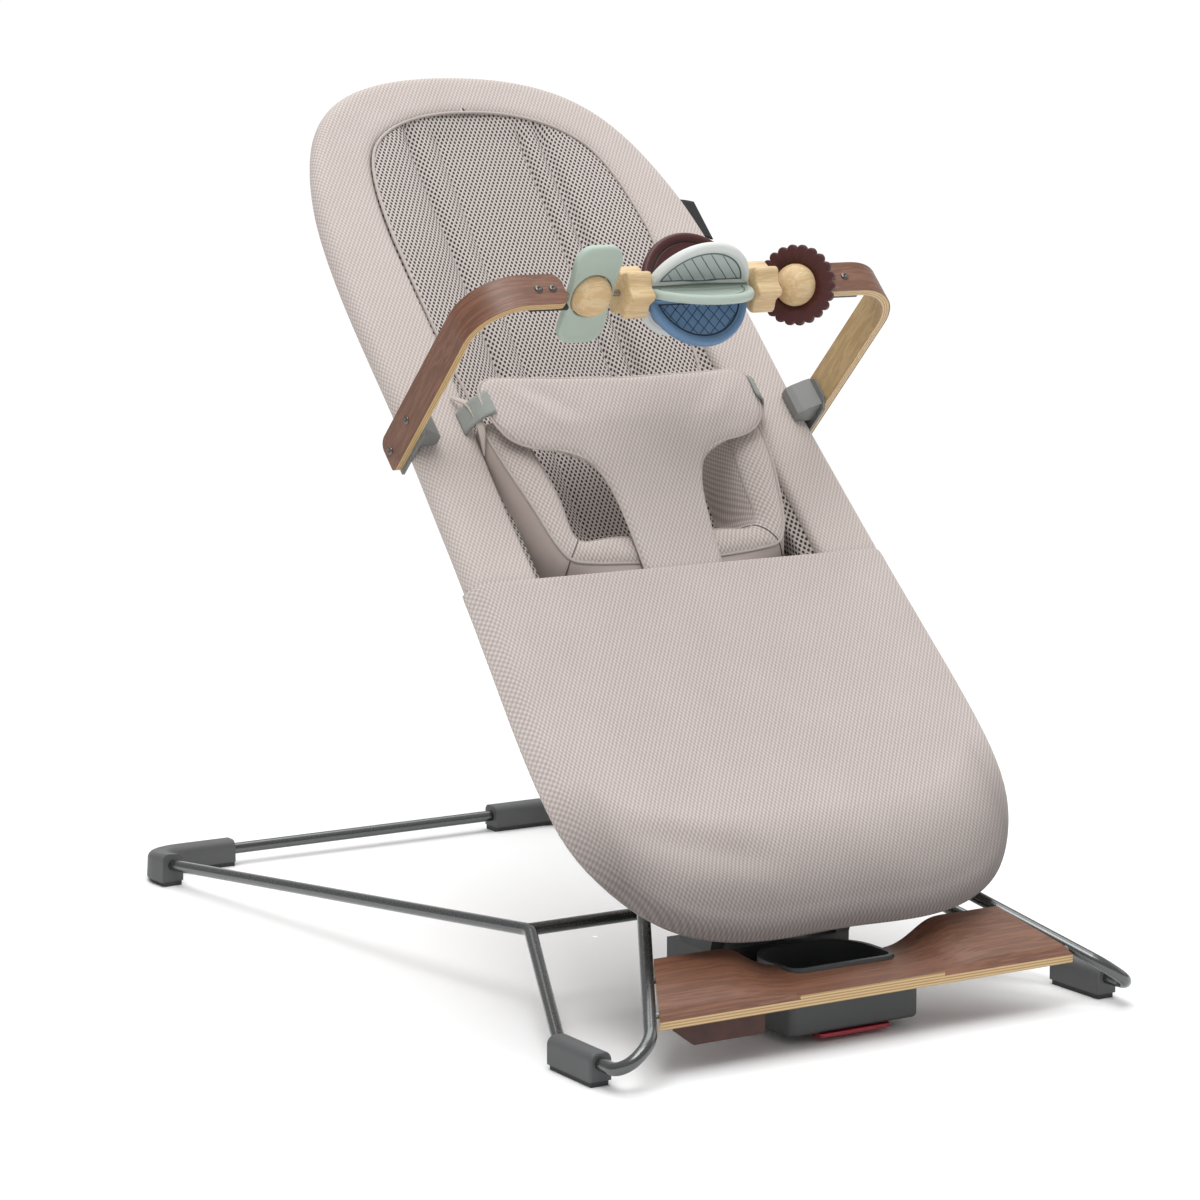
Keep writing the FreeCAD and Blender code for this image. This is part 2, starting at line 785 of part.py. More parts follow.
harness_sheet = side_sheet(harness_rise, harness_thickness, 130)
harness_panel = harness_sheet.common(plan_prism(harness_edge, -30, 60))
harness_panel = max(harness_panel.Solids, key=lambda solid: solid.Volume)
save(to_seat(harness_panel), "harness_panel")


def slanted_strip(x0, h0, x1, h1, thickness, low_s, high_s):
    """Flat strip between two points across the seat."""
    along = unit(V(x1 - x0, 0, h1 - h0))
    under = V(along.z, 0, -along.x) * thickness
    a = V(x0, low_s, h0)
    b = V(x1, low_s, h1)
    corners = [a, b, b + under, a + under, a]
    return Part.Face(Part.makePolygon(corners)).extrude(V(0, high_s - low_s, 0))


tab_in_x = 121.3
tab_in_h = 28.0
tab_bend_x = 137.0
tab_bend_h = 15.0
tab_foot_x = 142.0
tab_low_s = 134.0
tab_width = 22.0
tab_high_s = tab_low_s + tab_width
tab_thickness = 1.8
tab_right = slanted_strip(tab_in_x, tab_in_h, tab_bend_x, tab_bend_h, tab_thickness, tab_low_s, tab_high_s)
tab_drop = slanted_strip(
    tab_bend_x - 1.0, tab_bend_h + 0.8, tab_foot_x, -1.0, tab_thickness, tab_low_s, tab_high_s
)
tab_right = tab_right.fuse(tab_drop).removeSplitter()
tab_right = tab_right.cut(cover_upper).common(box(100, 200, 100, 200, 0.0, 60)).cut(harness_panel)
tab_right = max(tab_right.Solids, key=lambda solid: solid.Volume)
tab_fall = (tab_in_h - tab_bend_h) / (tab_bend_x - tab_in_x)
loop_x0 = 123.5
loop_x1 = 131.0
loop_h0 = tab_in_h - tab_fall * (loop_x0 - tab_in_x)
loop_h1 = tab_in_h - tab_fall * (loop_x1 - tab_in_x)
loop_low_s = tab_low_s - 13.0
loop_high_s = tab_high_s + 13.0
loop_right = slanted_strip(loop_x0, loop_h0, loop_x1, loop_h1, 2 * tab_thickness, loop_low_s, loop_high_s)
loop_room = slanted_strip(
    loop_x0 - 1, loop_h0 + tab_fall, loop_x1 + 1, loop_h1 - tab_fall, tab_thickness, loop_low_s - 8, loop_high_s + 8
)
loop_right = loop_right.cut(loop_room).cut(harness_panel)
save(to_seat(tab_right), "tab_right")
save(to_seat(mirrored(tab_right)), "tab_left")
save(to_seat(loop_right), "loop_right")
save(to_seat(mirrored(loop_right)), "loop_left")

label = box(165, 183, 322, 366, -7.0, -5.5).cut(cover_upper)
label = max(label.Solids, key=lambda solid: solid.CenterOfMass.x)
save(to_seat(label), "side_label")

# ---------------------------------------------------------------- toy bar
arm_inner_half = arm_outer_half - arm_thickness
arm_low_s = bar_s - arm_width / 2
arm_high_s = bar_s + arm_width / 2


def arm_outline(inset):
    """Edges of one face line of the bent arm, from foot to top end."""
    x = arm_outer_half - inset
    h = arm_top_h - inset
    r = arm_bend - inset
    c = r * (1 - math.sqrt(0.5))
    foot = V(x, arm_low_s, arm_foot_h)
    bend_in = V(x, arm_low_s, h - r)
    bend_mid = V(x - c, arm_low_s, h - c)
    bend_out = V(x - r, arm_low_s, h)
    tip = V(arm_end_half, arm_low_s, h)
    edges = [
        Part.makeLine(foot, bend_in),
        Part.Arc(bend_in, bend_mid, bend_out).toShape(),
        Part.makeLine(bend_out, tip),
    ]
    return edges, foot, tip


outer_edges, outer_foot, outer_tip = arm_outline(0)
inner_edges, inner_foot, inner_tip = arm_outline(arm_thickness)
arm_edges = outer_edges + inner_edges
arm_edges.append(Part.makeLine(outer_foot, inner_foot))
arm_edges.append(Part.makeLine(outer_tip, inner_tip))
arm_face = Part.Face(Part.Wire(Part.__sortEdges__(arm_edges)))
arm = arm_face.extrude(V(0, arm_width, 0))
arm = rounded(arm, 8.0, lambda e, m: abs(m.x - arm_end_half) < 0.1 and abs(m.z - arm_top_h + arm_thickness / 2) < 1)
arm = rounded(arm, 8.0, lambda e, m: m.z < arm_foot_h + 0.1 and m.y > arm_high_s - 0.1)
arm = rounded(arm, 3.0, lambda e, m: m.z < arm_foot_h + 0.1 and m.y < arm_low_s + 0.1)

screw_r = 1.8
head_r = 3.2
head_height = 0.9
screws = []
for h in (-20.0, 16.0):
    shank = Part.makeCylinder(
        screw_r, arm_thickness + clip_plate, V(arm_inner_half - clip_plate, bar_s, h), V(1, 0, 0)
    )
    head = Part.makeCylinder(head_r, head_height, V(arm_outer_half, bar_s, h), V(1, 0, 0))
    screws.append(shank.fuse(head))
plate_thickness = 3.0
plate_far = arm_outer_half - arm_bend - 1.2
for share in (10 / 31.5, 22 / 31.5):
    x = arm_end_half + (plate_far - arm_end_half) * share
    shank = Part.makeCylinder(
        screw_r, arm_thickness + plate_thickness, V(x, bar_s, arm_top_h - arm_thickness - plate_thickness), V(0, 0, 1)
    )
    head = Part.makeCylinder(head_r, head_height, V(x, bar_s, arm_top_h), V(0, 0, 1))
    screws.append(shank.fuse(head))
screw_group = Part.makeCompound(screws + [mirrored(screw) for screw in screws])

clip_h = [
    (arm_inner_half - clip_plate, 0.3),
    (clip_inner_half + 1, 0.3),
    (clip_inner_half - 1, 3.0),
    (clip_inner_half - 1, 10.0),
    (clip_inner_half + 3, 13.5),
    (clip_inner_half + 12, 19.0),
    (arm_inner_half - clip_plate, 21.0),
    (arm_inner_half - clip_plate, 0.3),
]
clip_block = Part.Face(Part.makePolygon([V(x, bar_s - 13, h) for x, h in clip_h])).extrude(V(0, 26, 0))
plate_shape = [
    (bar_s - 17, -28.0),
    (arm_high_s - 1, -28.0),
    (arm_high_s - 1, 20.0),
    (arm_high_s - 6, 26.0),
    (arm_low_s + 4, 26.0),
    (arm_low_s - 3, 18.0),
    (bar_s - 17, -6.0),
    (bar_s - 17, -28.0),
]
clip_side = Part.Face(
    Part.makePolygon([V(arm_inner_half - clip_plate, s, h) for s, h in plate_shape])
).extrude(V(clip_plate, 0, 0))
clip = clip_block.fuse(clip_side).removeSplitter()

end_plate = box(
    arm_end_half - 1, plate_far, bar_s - 13, bar_s + 13, arm_top_h - arm_thickness - plate_thickness,
    arm_top_h - arm_thickness,
)
end_ear = box(arm_end_half - 1, arm_end_half + 2, bar_s - 7, bar_s + 7, rod_h - 6, arm_top_h - arm_thickness)
end_plate = end_plate.fuse(end_ear).removeSplitter()
rod_half = arm_end_half + 3
rod = Part.makeCylinder(rod_r, 2 * rod_half, V(-rod_half, bar_s, rod_h), V(1, 0, 0))
end_plate = end_plate.cut(rod)
arm = arm.cut(rod)
for screw in screws:
    arm = arm.cut(screw)
    clip = clip.cut(screw)
    end_plate = end_plate.cut(screw)
save(to_seat(arm), "arm_right")
save(to_seat(mirrored(arm)), "arm_left")
save(to_seat(clip), "clip_right")
save(to_seat(mirrored(clip)), "clip_left")
save(to_seat(end_plate), "end_plate_right")
save(to_seat(mirrored(end_plate)), "end_plate_left")
save(to_seat(screw_group), "arm_screws")
save(to_seat(rod), "toy_rod")

# ---------------------------------------------------------------- toys, drawn about the rod axis
rod_axis = V(0, seat_y, seat_z) + seat_up * bar_s + seat_normal * rod_h
shaft_room = Part.makeCylinder(rod_r + running_gap, 400, V(-200, 0, 0), V(1, 0, 0))


def on_rod(shape):
    placed = shape.copy()
    placed.translate(rod_axis)
    return placed




def bored_ball(x, bore_r):
    """Ball on the rod: a half disc with its bore side cut off, turned about the rod."""
    edge_x = math.sqrt(ball_r * ball_r - bore_r * bore_r)
    edges = [
        Part.Arc(V(x - edge_x, bore_r, 0), V(x, ball_r, 0), V(x + edge_x, bore_r, 0)).toShape(),
        Part.makeLine(V(x + edge_x, bore_r, 0), V(x - edge_x, bore_r, 0)),
    ]
    return Part.Face(Part.Wire(edges)).revolve(V(0, 0, 0), V(1, 0, 0), 360)


fixed_ball = bored_ball(right_ball_x, rod_r)
save(on_rod(fixed_ball), "fixed_ball")
bow_ball = bored_ball(left_ball_x, rod_r + running_gap)
save(on_rod(bow_ball), "bow_ball")

bow_side = [(18.8, 0.0), (18.6, 9.0), (19.4, 21.0), (19.4, 30.0), (14.5, 38.5), (0.0, 41.0)]
bow_points = [V(x, y, 0) for x, y in bow_side]
bow_points += [V(-x, y, 0) for x, y in reversed(bow_side[:-1])]
bow_points += [V(-x, -y, 0) for x, y in bow_side[1:]]
bow_points += [V(x, -y, 0) for x, y in reversed(bow_side[1:-1])]
bow_curve = Part.BSplineCurve()
bow_curve.interpolate(Points=bow_points, PeriodicFlag=True)
bow = Part.Face(Part.Wire([bow_curve.toShape()])).extrude(V(0, 0, 7.0))
bow.translate(V(left_ball_x, 0, -3.5))
bow = bow.cut(Part.makeSphere(ball_r, V(left_ball_x, 0, 0))).cut(shaft_room)
bow.rotate(V(0, 0, 0), V(1, 0, 0), 180 - bow_angle)
save(on_rod(bow), "bow_plate")

bead = Part.makeCylinder(14.0, bead_length, V(-bead_length / 2, 0, 0), V(1, 0, 0))
lobe_r = 6.0
for i in range(6):
    turn = math.radians(60 * i + 10)
    lobe = Part.makeCylinder(
        lobe_r,
        bead_length,
        V(-bead_length / 2, (bead_r - lobe_r) * math.cos(turn), (bead_r - lobe_r) * math.sin(turn)),
        V(1, 0, 0),
    )
    bead = bead.fuse(lobe)
bead = bead.removeSplitter().cut(shaft_room)
left_bead = bead.copy()
left_bead.translate(V(left_bead_x, 0, 0))
right_bead = bead.copy()
right_bead.translate(V(right_bead_x, 0, 0))
save(on_rod(left_bead), "bead_left")
save(on_rod(right_bead), "bead_right")

petal_hub = Part.makeCylinder(petal_hub_r, 2 * petal_half, V(petal_centre_x - petal_half, 0, 0), V(1, 0, 0))
save(on_rod(petal_hub.cut(shaft_room)), "petal_hub")
petal_rim = Part.Ellipse(V(0, 0, 0), petal_half, petal_reach).toShape()
petal_disc = Part.Face(Part.Wire([petal_rim])).extrude(V(0, 0, petal_thickness))
petal_disc.translate(V(0, 0, -petal_thickness / 2))
petal = petal_disc.common(box(-100, 100, 0, 100, -20, 20))
petal = petal.cut(Part.makeCylinder(petal_hub_r, 400, V(-200, 0, 0), V(1, 0, 0)))
petal.translate(V(petal_centre_x, 0, 0))
petal_names = ["white", "burgundy", "plum", "pale", "blue", "sage"]
for i, name in enumerate(petal_names):
    leaf = petal.copy()
    leaf.rotate(V(0, 0, 0), V(1, 0, 0), 180 - first_petal - 60 * i)
    save(on_rod(leaf), "petal_" + name)

flower = Part.makeCylinder(flower_r, flower_thickness, V(0, 0, -1.5), V(0, 0, 1))
bumps = []
for i in range(22):
    turn = 2 * math.pi * i / 22
    bumps.append(
        Part.makeCylinder(
            3.9, flower_thickness, V(26.8 * math.cos(turn), 26.8 * math.sin(turn), -1.5), V(0, 0, 1)
        )
    )
flower = flower.multiFuse(bumps).removeSplitter()
flower = flower.cut(Part.makeSphere(ball_r + running_gap, V(0, 0, 0)))
flower.rotate(V(0, 0, 0), V(1, 0, 0), 90 - flower_lift)
flower.rotate(V(0, 0, 0), V(0, 0, 1), -flower_turn)
flower.translate(V(right_ball_x, 0, 0))
save(on_rod(flower), "flower_ring")
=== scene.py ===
import math

import bmesh
import bpy
import numpy as np
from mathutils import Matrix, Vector


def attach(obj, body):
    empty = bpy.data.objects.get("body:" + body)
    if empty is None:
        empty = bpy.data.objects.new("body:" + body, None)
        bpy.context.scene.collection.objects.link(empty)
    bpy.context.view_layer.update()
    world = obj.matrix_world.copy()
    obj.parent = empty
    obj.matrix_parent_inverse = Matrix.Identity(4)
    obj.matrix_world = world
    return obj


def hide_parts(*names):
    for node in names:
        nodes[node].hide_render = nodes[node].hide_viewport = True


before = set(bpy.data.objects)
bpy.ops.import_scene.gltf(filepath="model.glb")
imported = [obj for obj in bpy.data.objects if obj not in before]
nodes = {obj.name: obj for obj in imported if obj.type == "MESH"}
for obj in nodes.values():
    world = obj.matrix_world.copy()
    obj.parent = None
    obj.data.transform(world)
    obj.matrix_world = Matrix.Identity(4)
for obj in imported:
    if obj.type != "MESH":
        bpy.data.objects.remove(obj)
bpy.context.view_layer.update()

# ---------------------------------------------------------------- seat plane (millimetres)
TILT = math.radians(45.41)
SEAT_Y = -128.4
SEAT_Z = 311.4
COS, SIN = math.cos(TILT), math.sin(TILT)


def row(p):
    """Seat coordinates (x, along, height) in millimetres to the row frame in metres."""
    p = np.asarray(p, float)
    out = np.empty_like(p)
    out[..., 0] = p[..., 0]
    out[..., 1] = SEAT_Y + p[..., 1] * COS - p[..., 2] * SIN
    out[..., 2] = SEAT_Z + p[..., 1] * SIN + p[..., 2] * COS
    return out * 0.001


def smooth(points, n, closed=False):
    """n points, evenly spaced in chord length, on the cubic spline through the points."""
    p = np.array(points, float)
    if closed:
        p = np.vstack([p, p[:1]])
    t = np.concatenate([[0], np.cumsum(np.linalg.norm(np.diff(p, axis=0), axis=1))])
    h = np.diff(t)
    m = len(p)
    a = np.zeros((m, m))
    b = np.zeros((m, p.shape[1]))
    for i in range(1, m - 1):
        a[i, i - 1], a[i, i], a[i, i + 1] = h[i - 1], 2 * (h[i - 1] + h[i]), h[i]
        b[i] = 6 * ((p[i + 1] - p[i]) / h[i] - (p[i] - p[i - 1]) / h[i - 1])
    if closed:
        a[0, 0], a[0, 1], a[0, m - 2] = 2 * (h[0] + h[-1]), h[0], h[-1]
        b[0] = 6 * ((p[1] - p[0]) / h[0] - (p[0] - p[m - 2]) / h[-1])
        a[m - 1, 0], a[m - 1, m - 1] = 1, -1
    else:
        a[0, 0] = a[m - 1, m - 1] = 1
    s = np.linalg.solve(a, b)
    u = np.linspace(0, t[-1], n, endpoint=not closed)
    k = np.clip(np.searchsorted(t, u, side="right") - 1, 0, m - 2)
    d, e, w = (u - t[k])[:, None], (t[k + 1] - u)[:, None], h[k][:, None]
    return (
        s[k] * e**3 / (6 * w)
        + s[k + 1] * d**3 / (6 * w)
        + (p[k] / w - s[k] * w / 6) * e
        + (p[k + 1] / w - s[k + 1] * w / 6) * d
    )


def even(points, n):
    """n points evenly spaced along a polyline."""
    p = np.asarray(points, float)
    t = np.concatenate([[0], np.cumsum(np.linalg.norm(np.diff(p, axis=0), axis=1))])
    u = np.linspace(0, t[-1], n)
    return np.stack([np.interp(u, t, p[:, i]) for i in range(p.shape[1])], axis=1)


def mirror_halves(points):
    """Points given from one side's end to the middle, joined by their mirror images."""
    p = np.asarray(points, float)
    q = p[::-1][1:].copy()
    q[:, 0] *= -1
    return np.vstack([p, q])


def curve_of(table, at):
    """The value at a place of a table of (place, value) pairs, on straight lines between them."""
    t = np.asarray(table, float)
    return np.interp(at, t[:, 0], t[:, 1])


def lifted(plan, h):
    """Points of the plane, each with its height."""
    return np.concatenate([plan, h[..., None]], axis=-1)


def eased(x):
    """0 to 1 with a soft start and end."""
    x = np.clip(x, 0, 1)
    return x * x * (3 - 2 * x)


def mesh_object(name, verts, faces, uvs=None):
    mesh = bpy.data.meshes.new(name)
    mesh.from_pydata([tuple(v) for v in verts], [], faces)
    mesh.update()
    if uvs is not None:
        layer = mesh.uv_layers.new(name="UVMap")
        index = np.empty(len(mesh.loops), np.int32)
        mesh.loops.foreach_get("vertex_index", index)
        layer.data.foreach_set("uv", np.asarray(uvs, np.float32)[index].ravel())
    mesh.polygons.foreach_set("use_smooth", [True] * len(mesh.polygons))
    obj = bpy.data.objects.new(name, mesh)
    bpy.context.scene.collection.objects.link(obj)
    return obj


def grid(name, points, around=False, uv=None, caps=False, flip=False):
    """Mesh over rows of points. around closes each row, caps fills the first and last row."""
    p = np.asarray(points, float)
    nu, nv = p.shape[:2]
    faces = []
    for i in range(nu - 1):
        for j in range(nv if around else nv - 1):
            k = (j + 1) % nv
            quad = (i * nv + j, i * nv + k, (i + 1) * nv + k, (i + 1) * nv + j)
            faces.append(quad[::-1] if flip else quad)
    if caps:
        first = tuple(range(nv))[::-1]
        last = tuple((nu - 1) * nv + j for j in range(nv))
        faces += [first[::-1], last[::-1]] if flip else [first, last]
    uvs = None if uv is None else np.asarray(uv).reshape(-1, 2)
    return mesh_object(name, p.reshape(-1, 3), faces, uvs)


def arc_uv(points):
    """Unrolled coordinates of a grid, in metres."""
    p = np.asarray(points, float)
    v = np.concatenate([[0], np.cumsum(np.linalg.norm(np.diff(p, axis=0), axis=2).mean(1))])
    u = np.zeros(p.shape[:2])
    u[:, 1:] = np.cumsum(np.linalg.norm(np.diff(p, axis=1), axis=2), axis=1)
    u -= u[:, -1:] / 2
    return np.stack([u, np.repeat(v[:, None], p.shape[1], 1)], axis=2)


def tube(name, path, r, sides=8):
    """Cord of radius r (metres) along a path in the row frame (metres)."""
    p = np.asarray(path, float)
    d = np.gradient(p, axis=0)
    d /= np.linalg.norm(d, axis=1)[:, None]
    ref = np.cross(d[0], [0.3, 0.5, 0.81])
    a = np.arange(sides) * 2 * math.pi / sides
    rings = []
    for point, ahead in zip(p, d):
        ref = ref - ahead * (ref @ ahead)
        ref /= np.linalg.norm(ref)
        other = np.cross(ahead, ref)
        rings.append(point + r * (np.cos(a)[:, None] * ref + np.sin(a)[:, None] * other))
    rings = np.array(rings)
    return grid(name, rings, around=True, uv=arc_uv(rings), caps=True)


def joined(name, objects):
    """One object out of several, keeping every material slot."""
    for o in bpy.context.selected_objects:
        o.select_set(False)
    for o in objects:
        o.select_set(True)
    bpy.context.view_layer.objects.active = objects[0]
    bpy.ops.object.join()
    objects[0].name = name
    objects[0].data.name = name
    return objects[0]


def subdivided(obj):
    m = obj.modifiers.new("subdivision", "SUBSURF")
    m.levels = 1
    m.render_levels = 1
    return obj


def thick(obj, depth):
    """Gives a sheet its thickness, below its face."""
    m = obj.modifiers.new("thickness", "SOLIDIFY")
    m.thickness = depth
    m.offset = -1.0
    return obj


def closed_up(obj, weld=0.0):
    """Makes points nearer than weld (metres) one, and turns the faces outward."""
    bm = bmesh.new()
    bm.from_mesh(obj.data)
    if weld:
        bmesh.ops.remove_doubles(bm, verts=bm.verts, dist=weld)
    bmesh.ops.recalc_face_normals(bm, faces=bm.faces)
    bm.to_mesh(obj.data)
    bm.free()
    return obj


# ---------------------------------------------------------------- material nodes
class Net:
    """Short names for the nodes a material is made of."""

    def __init__(self, name, rough=0.5, metal=0.0):
        self.mat = bpy.data.materials.new(name)
        self.mat.use_nodes = True
        self.tree = self.mat.node_tree
        self.shader = self.tree.nodes["Principled BSDF"]
        self.shader.inputs["Roughness"].default_value = rough
        self.shader.inputs["Metallic"].default_value = metal

    def node(self, kind, **values):
        n = self.tree.nodes.new(kind)
        for k, v in values.items():
            setattr(n, k, v)
        return n

    def put(self, socket, value):
        if isinstance(value, bpy.types.NodeSocket):
            self.tree.links.new(value, socket)
        else:
            socket.default_value = value

    def math(self, op, a, b=0.0, c=0.0, clamp=False):
        n = self.node("ShaderNodeMath", operation=op, use_clamp=clamp)
        for s, v in zip(n.inputs, (a, b, c)):
            self.put(s, v)
        return n.outputs[0]

    def mul(self, a, b):
        return self.math("MULTIPLY", a, b)

    def mad(self, a, b, c):
        return self.math("MULTIPLY_ADD", a, b, c)

    def add(self, a, b):
        return self.math("ADD", a, b)

    def sub(self, a, b):
        return self.math("SUBTRACT", a, b)

    def div(self, a, b):
        return self.math("DIVIDE", a, b)

    def ramp(self, value, low, high, a=0.0, b=1.0, soft=True):
        n = self.node("ShaderNodeMapRange", interpolation_type="SMOOTHSTEP" if soft else "LINEAR")
        for s, v in zip(n.inputs, (value, low, high, a, b)):
            self.put(s, v)
        return n.outputs[0]

    def mix(self, f, a, b, how="MIX"):
        n = self.node("ShaderNodeMix", data_type="RGBA", blend_type=how)
        self.put(n.inputs["Factor"], f)
        self.put(n.inputs[6], a)
        self.put(n.inputs[7], b)
        return n.outputs[2]

    def coords(self, kind="Object"):
        return self.node("ShaderNodeTexCoord").outputs[kind]

    def mapped(self, vector, scale):
        n = self.node("ShaderNodeMapping")
        self.put(n.inputs["Vector"], vector)
        n.inputs["Scale"].default_value = scale
        return n.outputs[0]

    def mm(self, kind="Object"):
        return self.mapped(self.coords(kind), (1000, 1000, 1000))

    def seat(self):
        """Seat coordinates (x, along, height) in millimetres from the object's own."""
        n = self.node("ShaderNodeMapping", vector_type="TEXTURE")
        self.put(n.inputs["Vector"], self.coords())
        n.inputs["Location"].default_value = (0, SEAT_Y / 1000, SEAT_Z / 1000)
        n.inputs["Rotation"].default_value = (TILT, 0, 0)
        n.inputs["Scale"].default_value = (0.001, 0.001, 0.001)
        return n.outputs[0]

    def split(self, vector):
        n = self.node("ShaderNodeSeparateXYZ")
        self.put(n.inputs[0], vector)
        return n.outputs

    def join(self, x, y, z=0.0):
        n = self.node("ShaderNodeCombineXYZ")
        for s, v in zip(n.inputs, (x, y, z)):
            self.put(s, v)
        return n.outputs[0]

    def noise(self, vector, scale, detail=3.0, rough=0.5, bend=0.0):
        n = self.node("ShaderNodeTexNoise")
        self.put(n.inputs["Vector"], vector)
        n.inputs["Scale"].default_value = scale
        n.inputs["Detail"].default_value = detail
        n.inputs["Roughness"].default_value = rough
        n.inputs["Distortion"].default_value = bend
        return n.outputs["Fac"]

    def color(self, value):
        self.put(self.shader.inputs["Base Color"], value)

    def rough(self, value):
        self.put(self.shader.inputs["Roughness"], value)

    def bump(self, height, depth, strength=1.0):
        n = self.node("ShaderNodeBump")
        n.inputs["Strength"].default_value = strength
        n.inputs["Distance"].default_value = depth
        self.put(n.inputs["Height"], height)
        self.put(self.shader.inputs["Normal"], n.outputs[0])

    def coat(self, weight, rough):
        self.shader.inputs["Coat Weight"].default_value = weight
        self.shader.inputs["Coat Roughness"].default_value = rough

    def sheen(self, weight):
        self.shader.inputs["Sheen Weight"].default_value = weight

    def lattice(self, vector, across, along):
        """Staggered dots, 1 at each middle: across apart in a row, along apart per two rows (mm)."""
        out = self.split(vector)
        a = self.math("COSINE", self.mul(out[0], 2 * math.pi / across))
        b = self.math("COSINE", self.mul(out[1], 2 * math.pi / along))
        return self.mul(a, b)


SHADE = 0.88  # share of a display colour that the surface itself has under these lamps


def rgb(r, g, b):
    """Linear surface colour for a display colour under this light."""
    def lin(c):
        c /= 255
        return SHADE * (c / 12.92 if c <= 0.04045 else ((c + 0.055) / 1.055) ** 2.4)
    return (lin(r), lin(g), lin(b), 1.0)


# the leg panel's foot end (mm), for the painted shade there: its middle, how far it rises to the sides, and
# where they are
FOOT_END, FOOT_RISE, FOOT_HALF, FOOT_FLANK = -313.0, 87.0, 188.0, 168.0


def twill(name, light, dark, across, along, depth=0.0003, foot=False):
    """Woven cover cloth: small raised floats in staggered rows. foot darkens the leg panel's foot end with
    painted shade.
    """
    n = Net(name, rough=0.92)
    at = n.mm("UV")
    out = n.split(at)
    u = n.mul(out[0], 2 * math.pi / across)
    v = n.mul(out[1], 2 * math.pi / along)
    a = n.math("COSINE", n.sub(u, v))
    b = n.math("COSINE", n.add(u, v))
    dots = n.ramp(n.mad(a, 0.54, n.mul(b, 0.46)), -0.8, 1.0)
    cloud = n.noise(at, 0.018, 4.0)
    yarn = n.noise(at, 0.55, 2.0)
    weave = n.mad(yarn, 0.3, n.mul(dots, 0.7))
    tone = n.mad(cloud, 0.2, weave)
    cloth = n.mix(n.math("SUBTRACT", tone, 0.1, clamp=True), dark, light)
    if foot:
        # painted shade: the cloth colour darkens towards the foot end's edge, standing in for the shade where
        # the panel turns down
        x = n.div(n.math("MINIMUM", n.math("ABSOLUTE", out[0]), FOOT_FLANK), FOOT_HALF)
        rim = n.mad(n.math("POWER", x, 5.8), FOOT_RISE, FOOT_END)
        inward = n.sub(out[1], rim)
        painted_foot_shade = n.ramp(inward, 8.0, 92.0, 0.4, 1.0, soft=False)
        cloth = n.mix(1.0, cloth, n.join(painted_foot_shade, painted_foot_shade, painted_foot_shade), "MULTIPLY")
    n.color(cloth)
    n.bump(n.mad(yarn, 0.3, dots), depth, 0.6)
    n.sheen(0.08)
    return n.mat


def spacer(name, yarn_tone, across, along, size):
    """Open spacer mesh: staggered oval holes between raised yarn, painted dark with the shade inside them."""
    n = Net(name, rough=0.9)
    at = n.mm("UV")
    wave = n.noise(at, 0.12, 2.0)
    lattice = n.lattice(at, across, along)
    hole = n.ramp(lattice, size, size + 0.38)
    rib = n.ramp(n.lattice(at, across / 2, along / 2), -0.6, 0.8)
    fibre = n.noise(at, 2.2, 2.0)
    yarn = n.mix(n.mad(rib, 0.35, n.mul(fibre, 0.5)), *yarn_tone)
    shade = n.mix(n.mul(wave, 0.35), yarn, yarn_tone[0])
    # painted shade: the holes are coloured near-black brown for the shade inside them
    n.color(n.mix(hole, shade, rgb(58, 48, 45)))
    height = n.sub(n.mul(rib, 0.25), hole)
    n.bump(height, 0.0006, 0.8)
    n.sheen(0.1)
    return n.mat


def plain_knit(name, light, dark, pitch):
    """Smooth stretch knit with a fine rib."""
    n = Net(name, rough=0.9)
    at = n.mm("UV")
    rib = n.ramp(n.lattice(at, pitch, pitch * 1.6), -0.8, 0.9)
    cloud = n.noise(at, 0.03, 3.0)
    n.color(n.mix(n.mad(rib, 0.3, n.mul(cloud, 0.5)), dark, light))
    n.bump(rib, 0.0002, 0.6)
    n.sheen(0.15)
    return n.mat


def webbing(name, light, dark):
    """Narrow woven strap with cross ribs."""
    n = Net(name, rough=0.8)
    at = n.mm("UV")
    out = n.split(at)
    ribs = n.math("SINE", n.mul(out[1], 2 * math.pi / 1.1))
    ends = n.math("SINE", n.mul(out[0], 2 * math.pi / 1.6))
    height = n.mad(ribs, 0.35, n.mad(ends, 0.2, 0.5))
    tone = n.mad(n.noise(at, 0.6), 0.4, n.mul(height, 0.6))
    n.color(n.mix(tone, dark, light))
    n.bump(height, 0.0003, 0.7)
    return n.mat


def moulded(name, tone, rough, grain=0.00006, coat=0.0):
    """Moulded plastic or rubber with a fine spark-eroded grain."""
    n = Net(name)
    at = n.coords()
    fine = n.noise(at, 9000.0, 2.0)
    wide = n.noise(at, 30.0, 3.0)
    dark = tuple(c * 0.88 for c in tone[:3]) + (1.0,)
    pale = tuple(min(1.0, c * 1.12) for c in tone[:3]) + (1.0,)
    n.color(n.mix(wide, dark, pale))
    n.rough(n.ramp(wide, 0.2, 0.8, rough - 0.05, rough + 0.07))
    n.bump(fine, grain, 0.5)
    n.coat(coat, 0.2)
    return n.mat


def metal(name, tone, rough, coat=0.0, brushed=False):
    """Bare metal, or with a coat the lacquered steel of the wire base."""
    n = Net(name, metal=1.0 if not coat else 0.85)
    at = n.coords()
    wide = n.noise(at, 18.0, 4.0)
    streak = n.noise(n.mapped(at, (20, 900, 900)) if brushed else at, 1.0 if brushed else 900.0, 3.0)
    dark = tuple(c * 0.85 for c in tone[:3]) + (1.0,)
    n.color(n.mix(wide, dark, tone))
    n.rough(n.ramp(streak, 0.3, 0.7, rough - 0.02, rough + 0.04))
    n.bump(streak, 0.000004, 0.2)
    n.coat(coat, 0.12)
    return n.mat


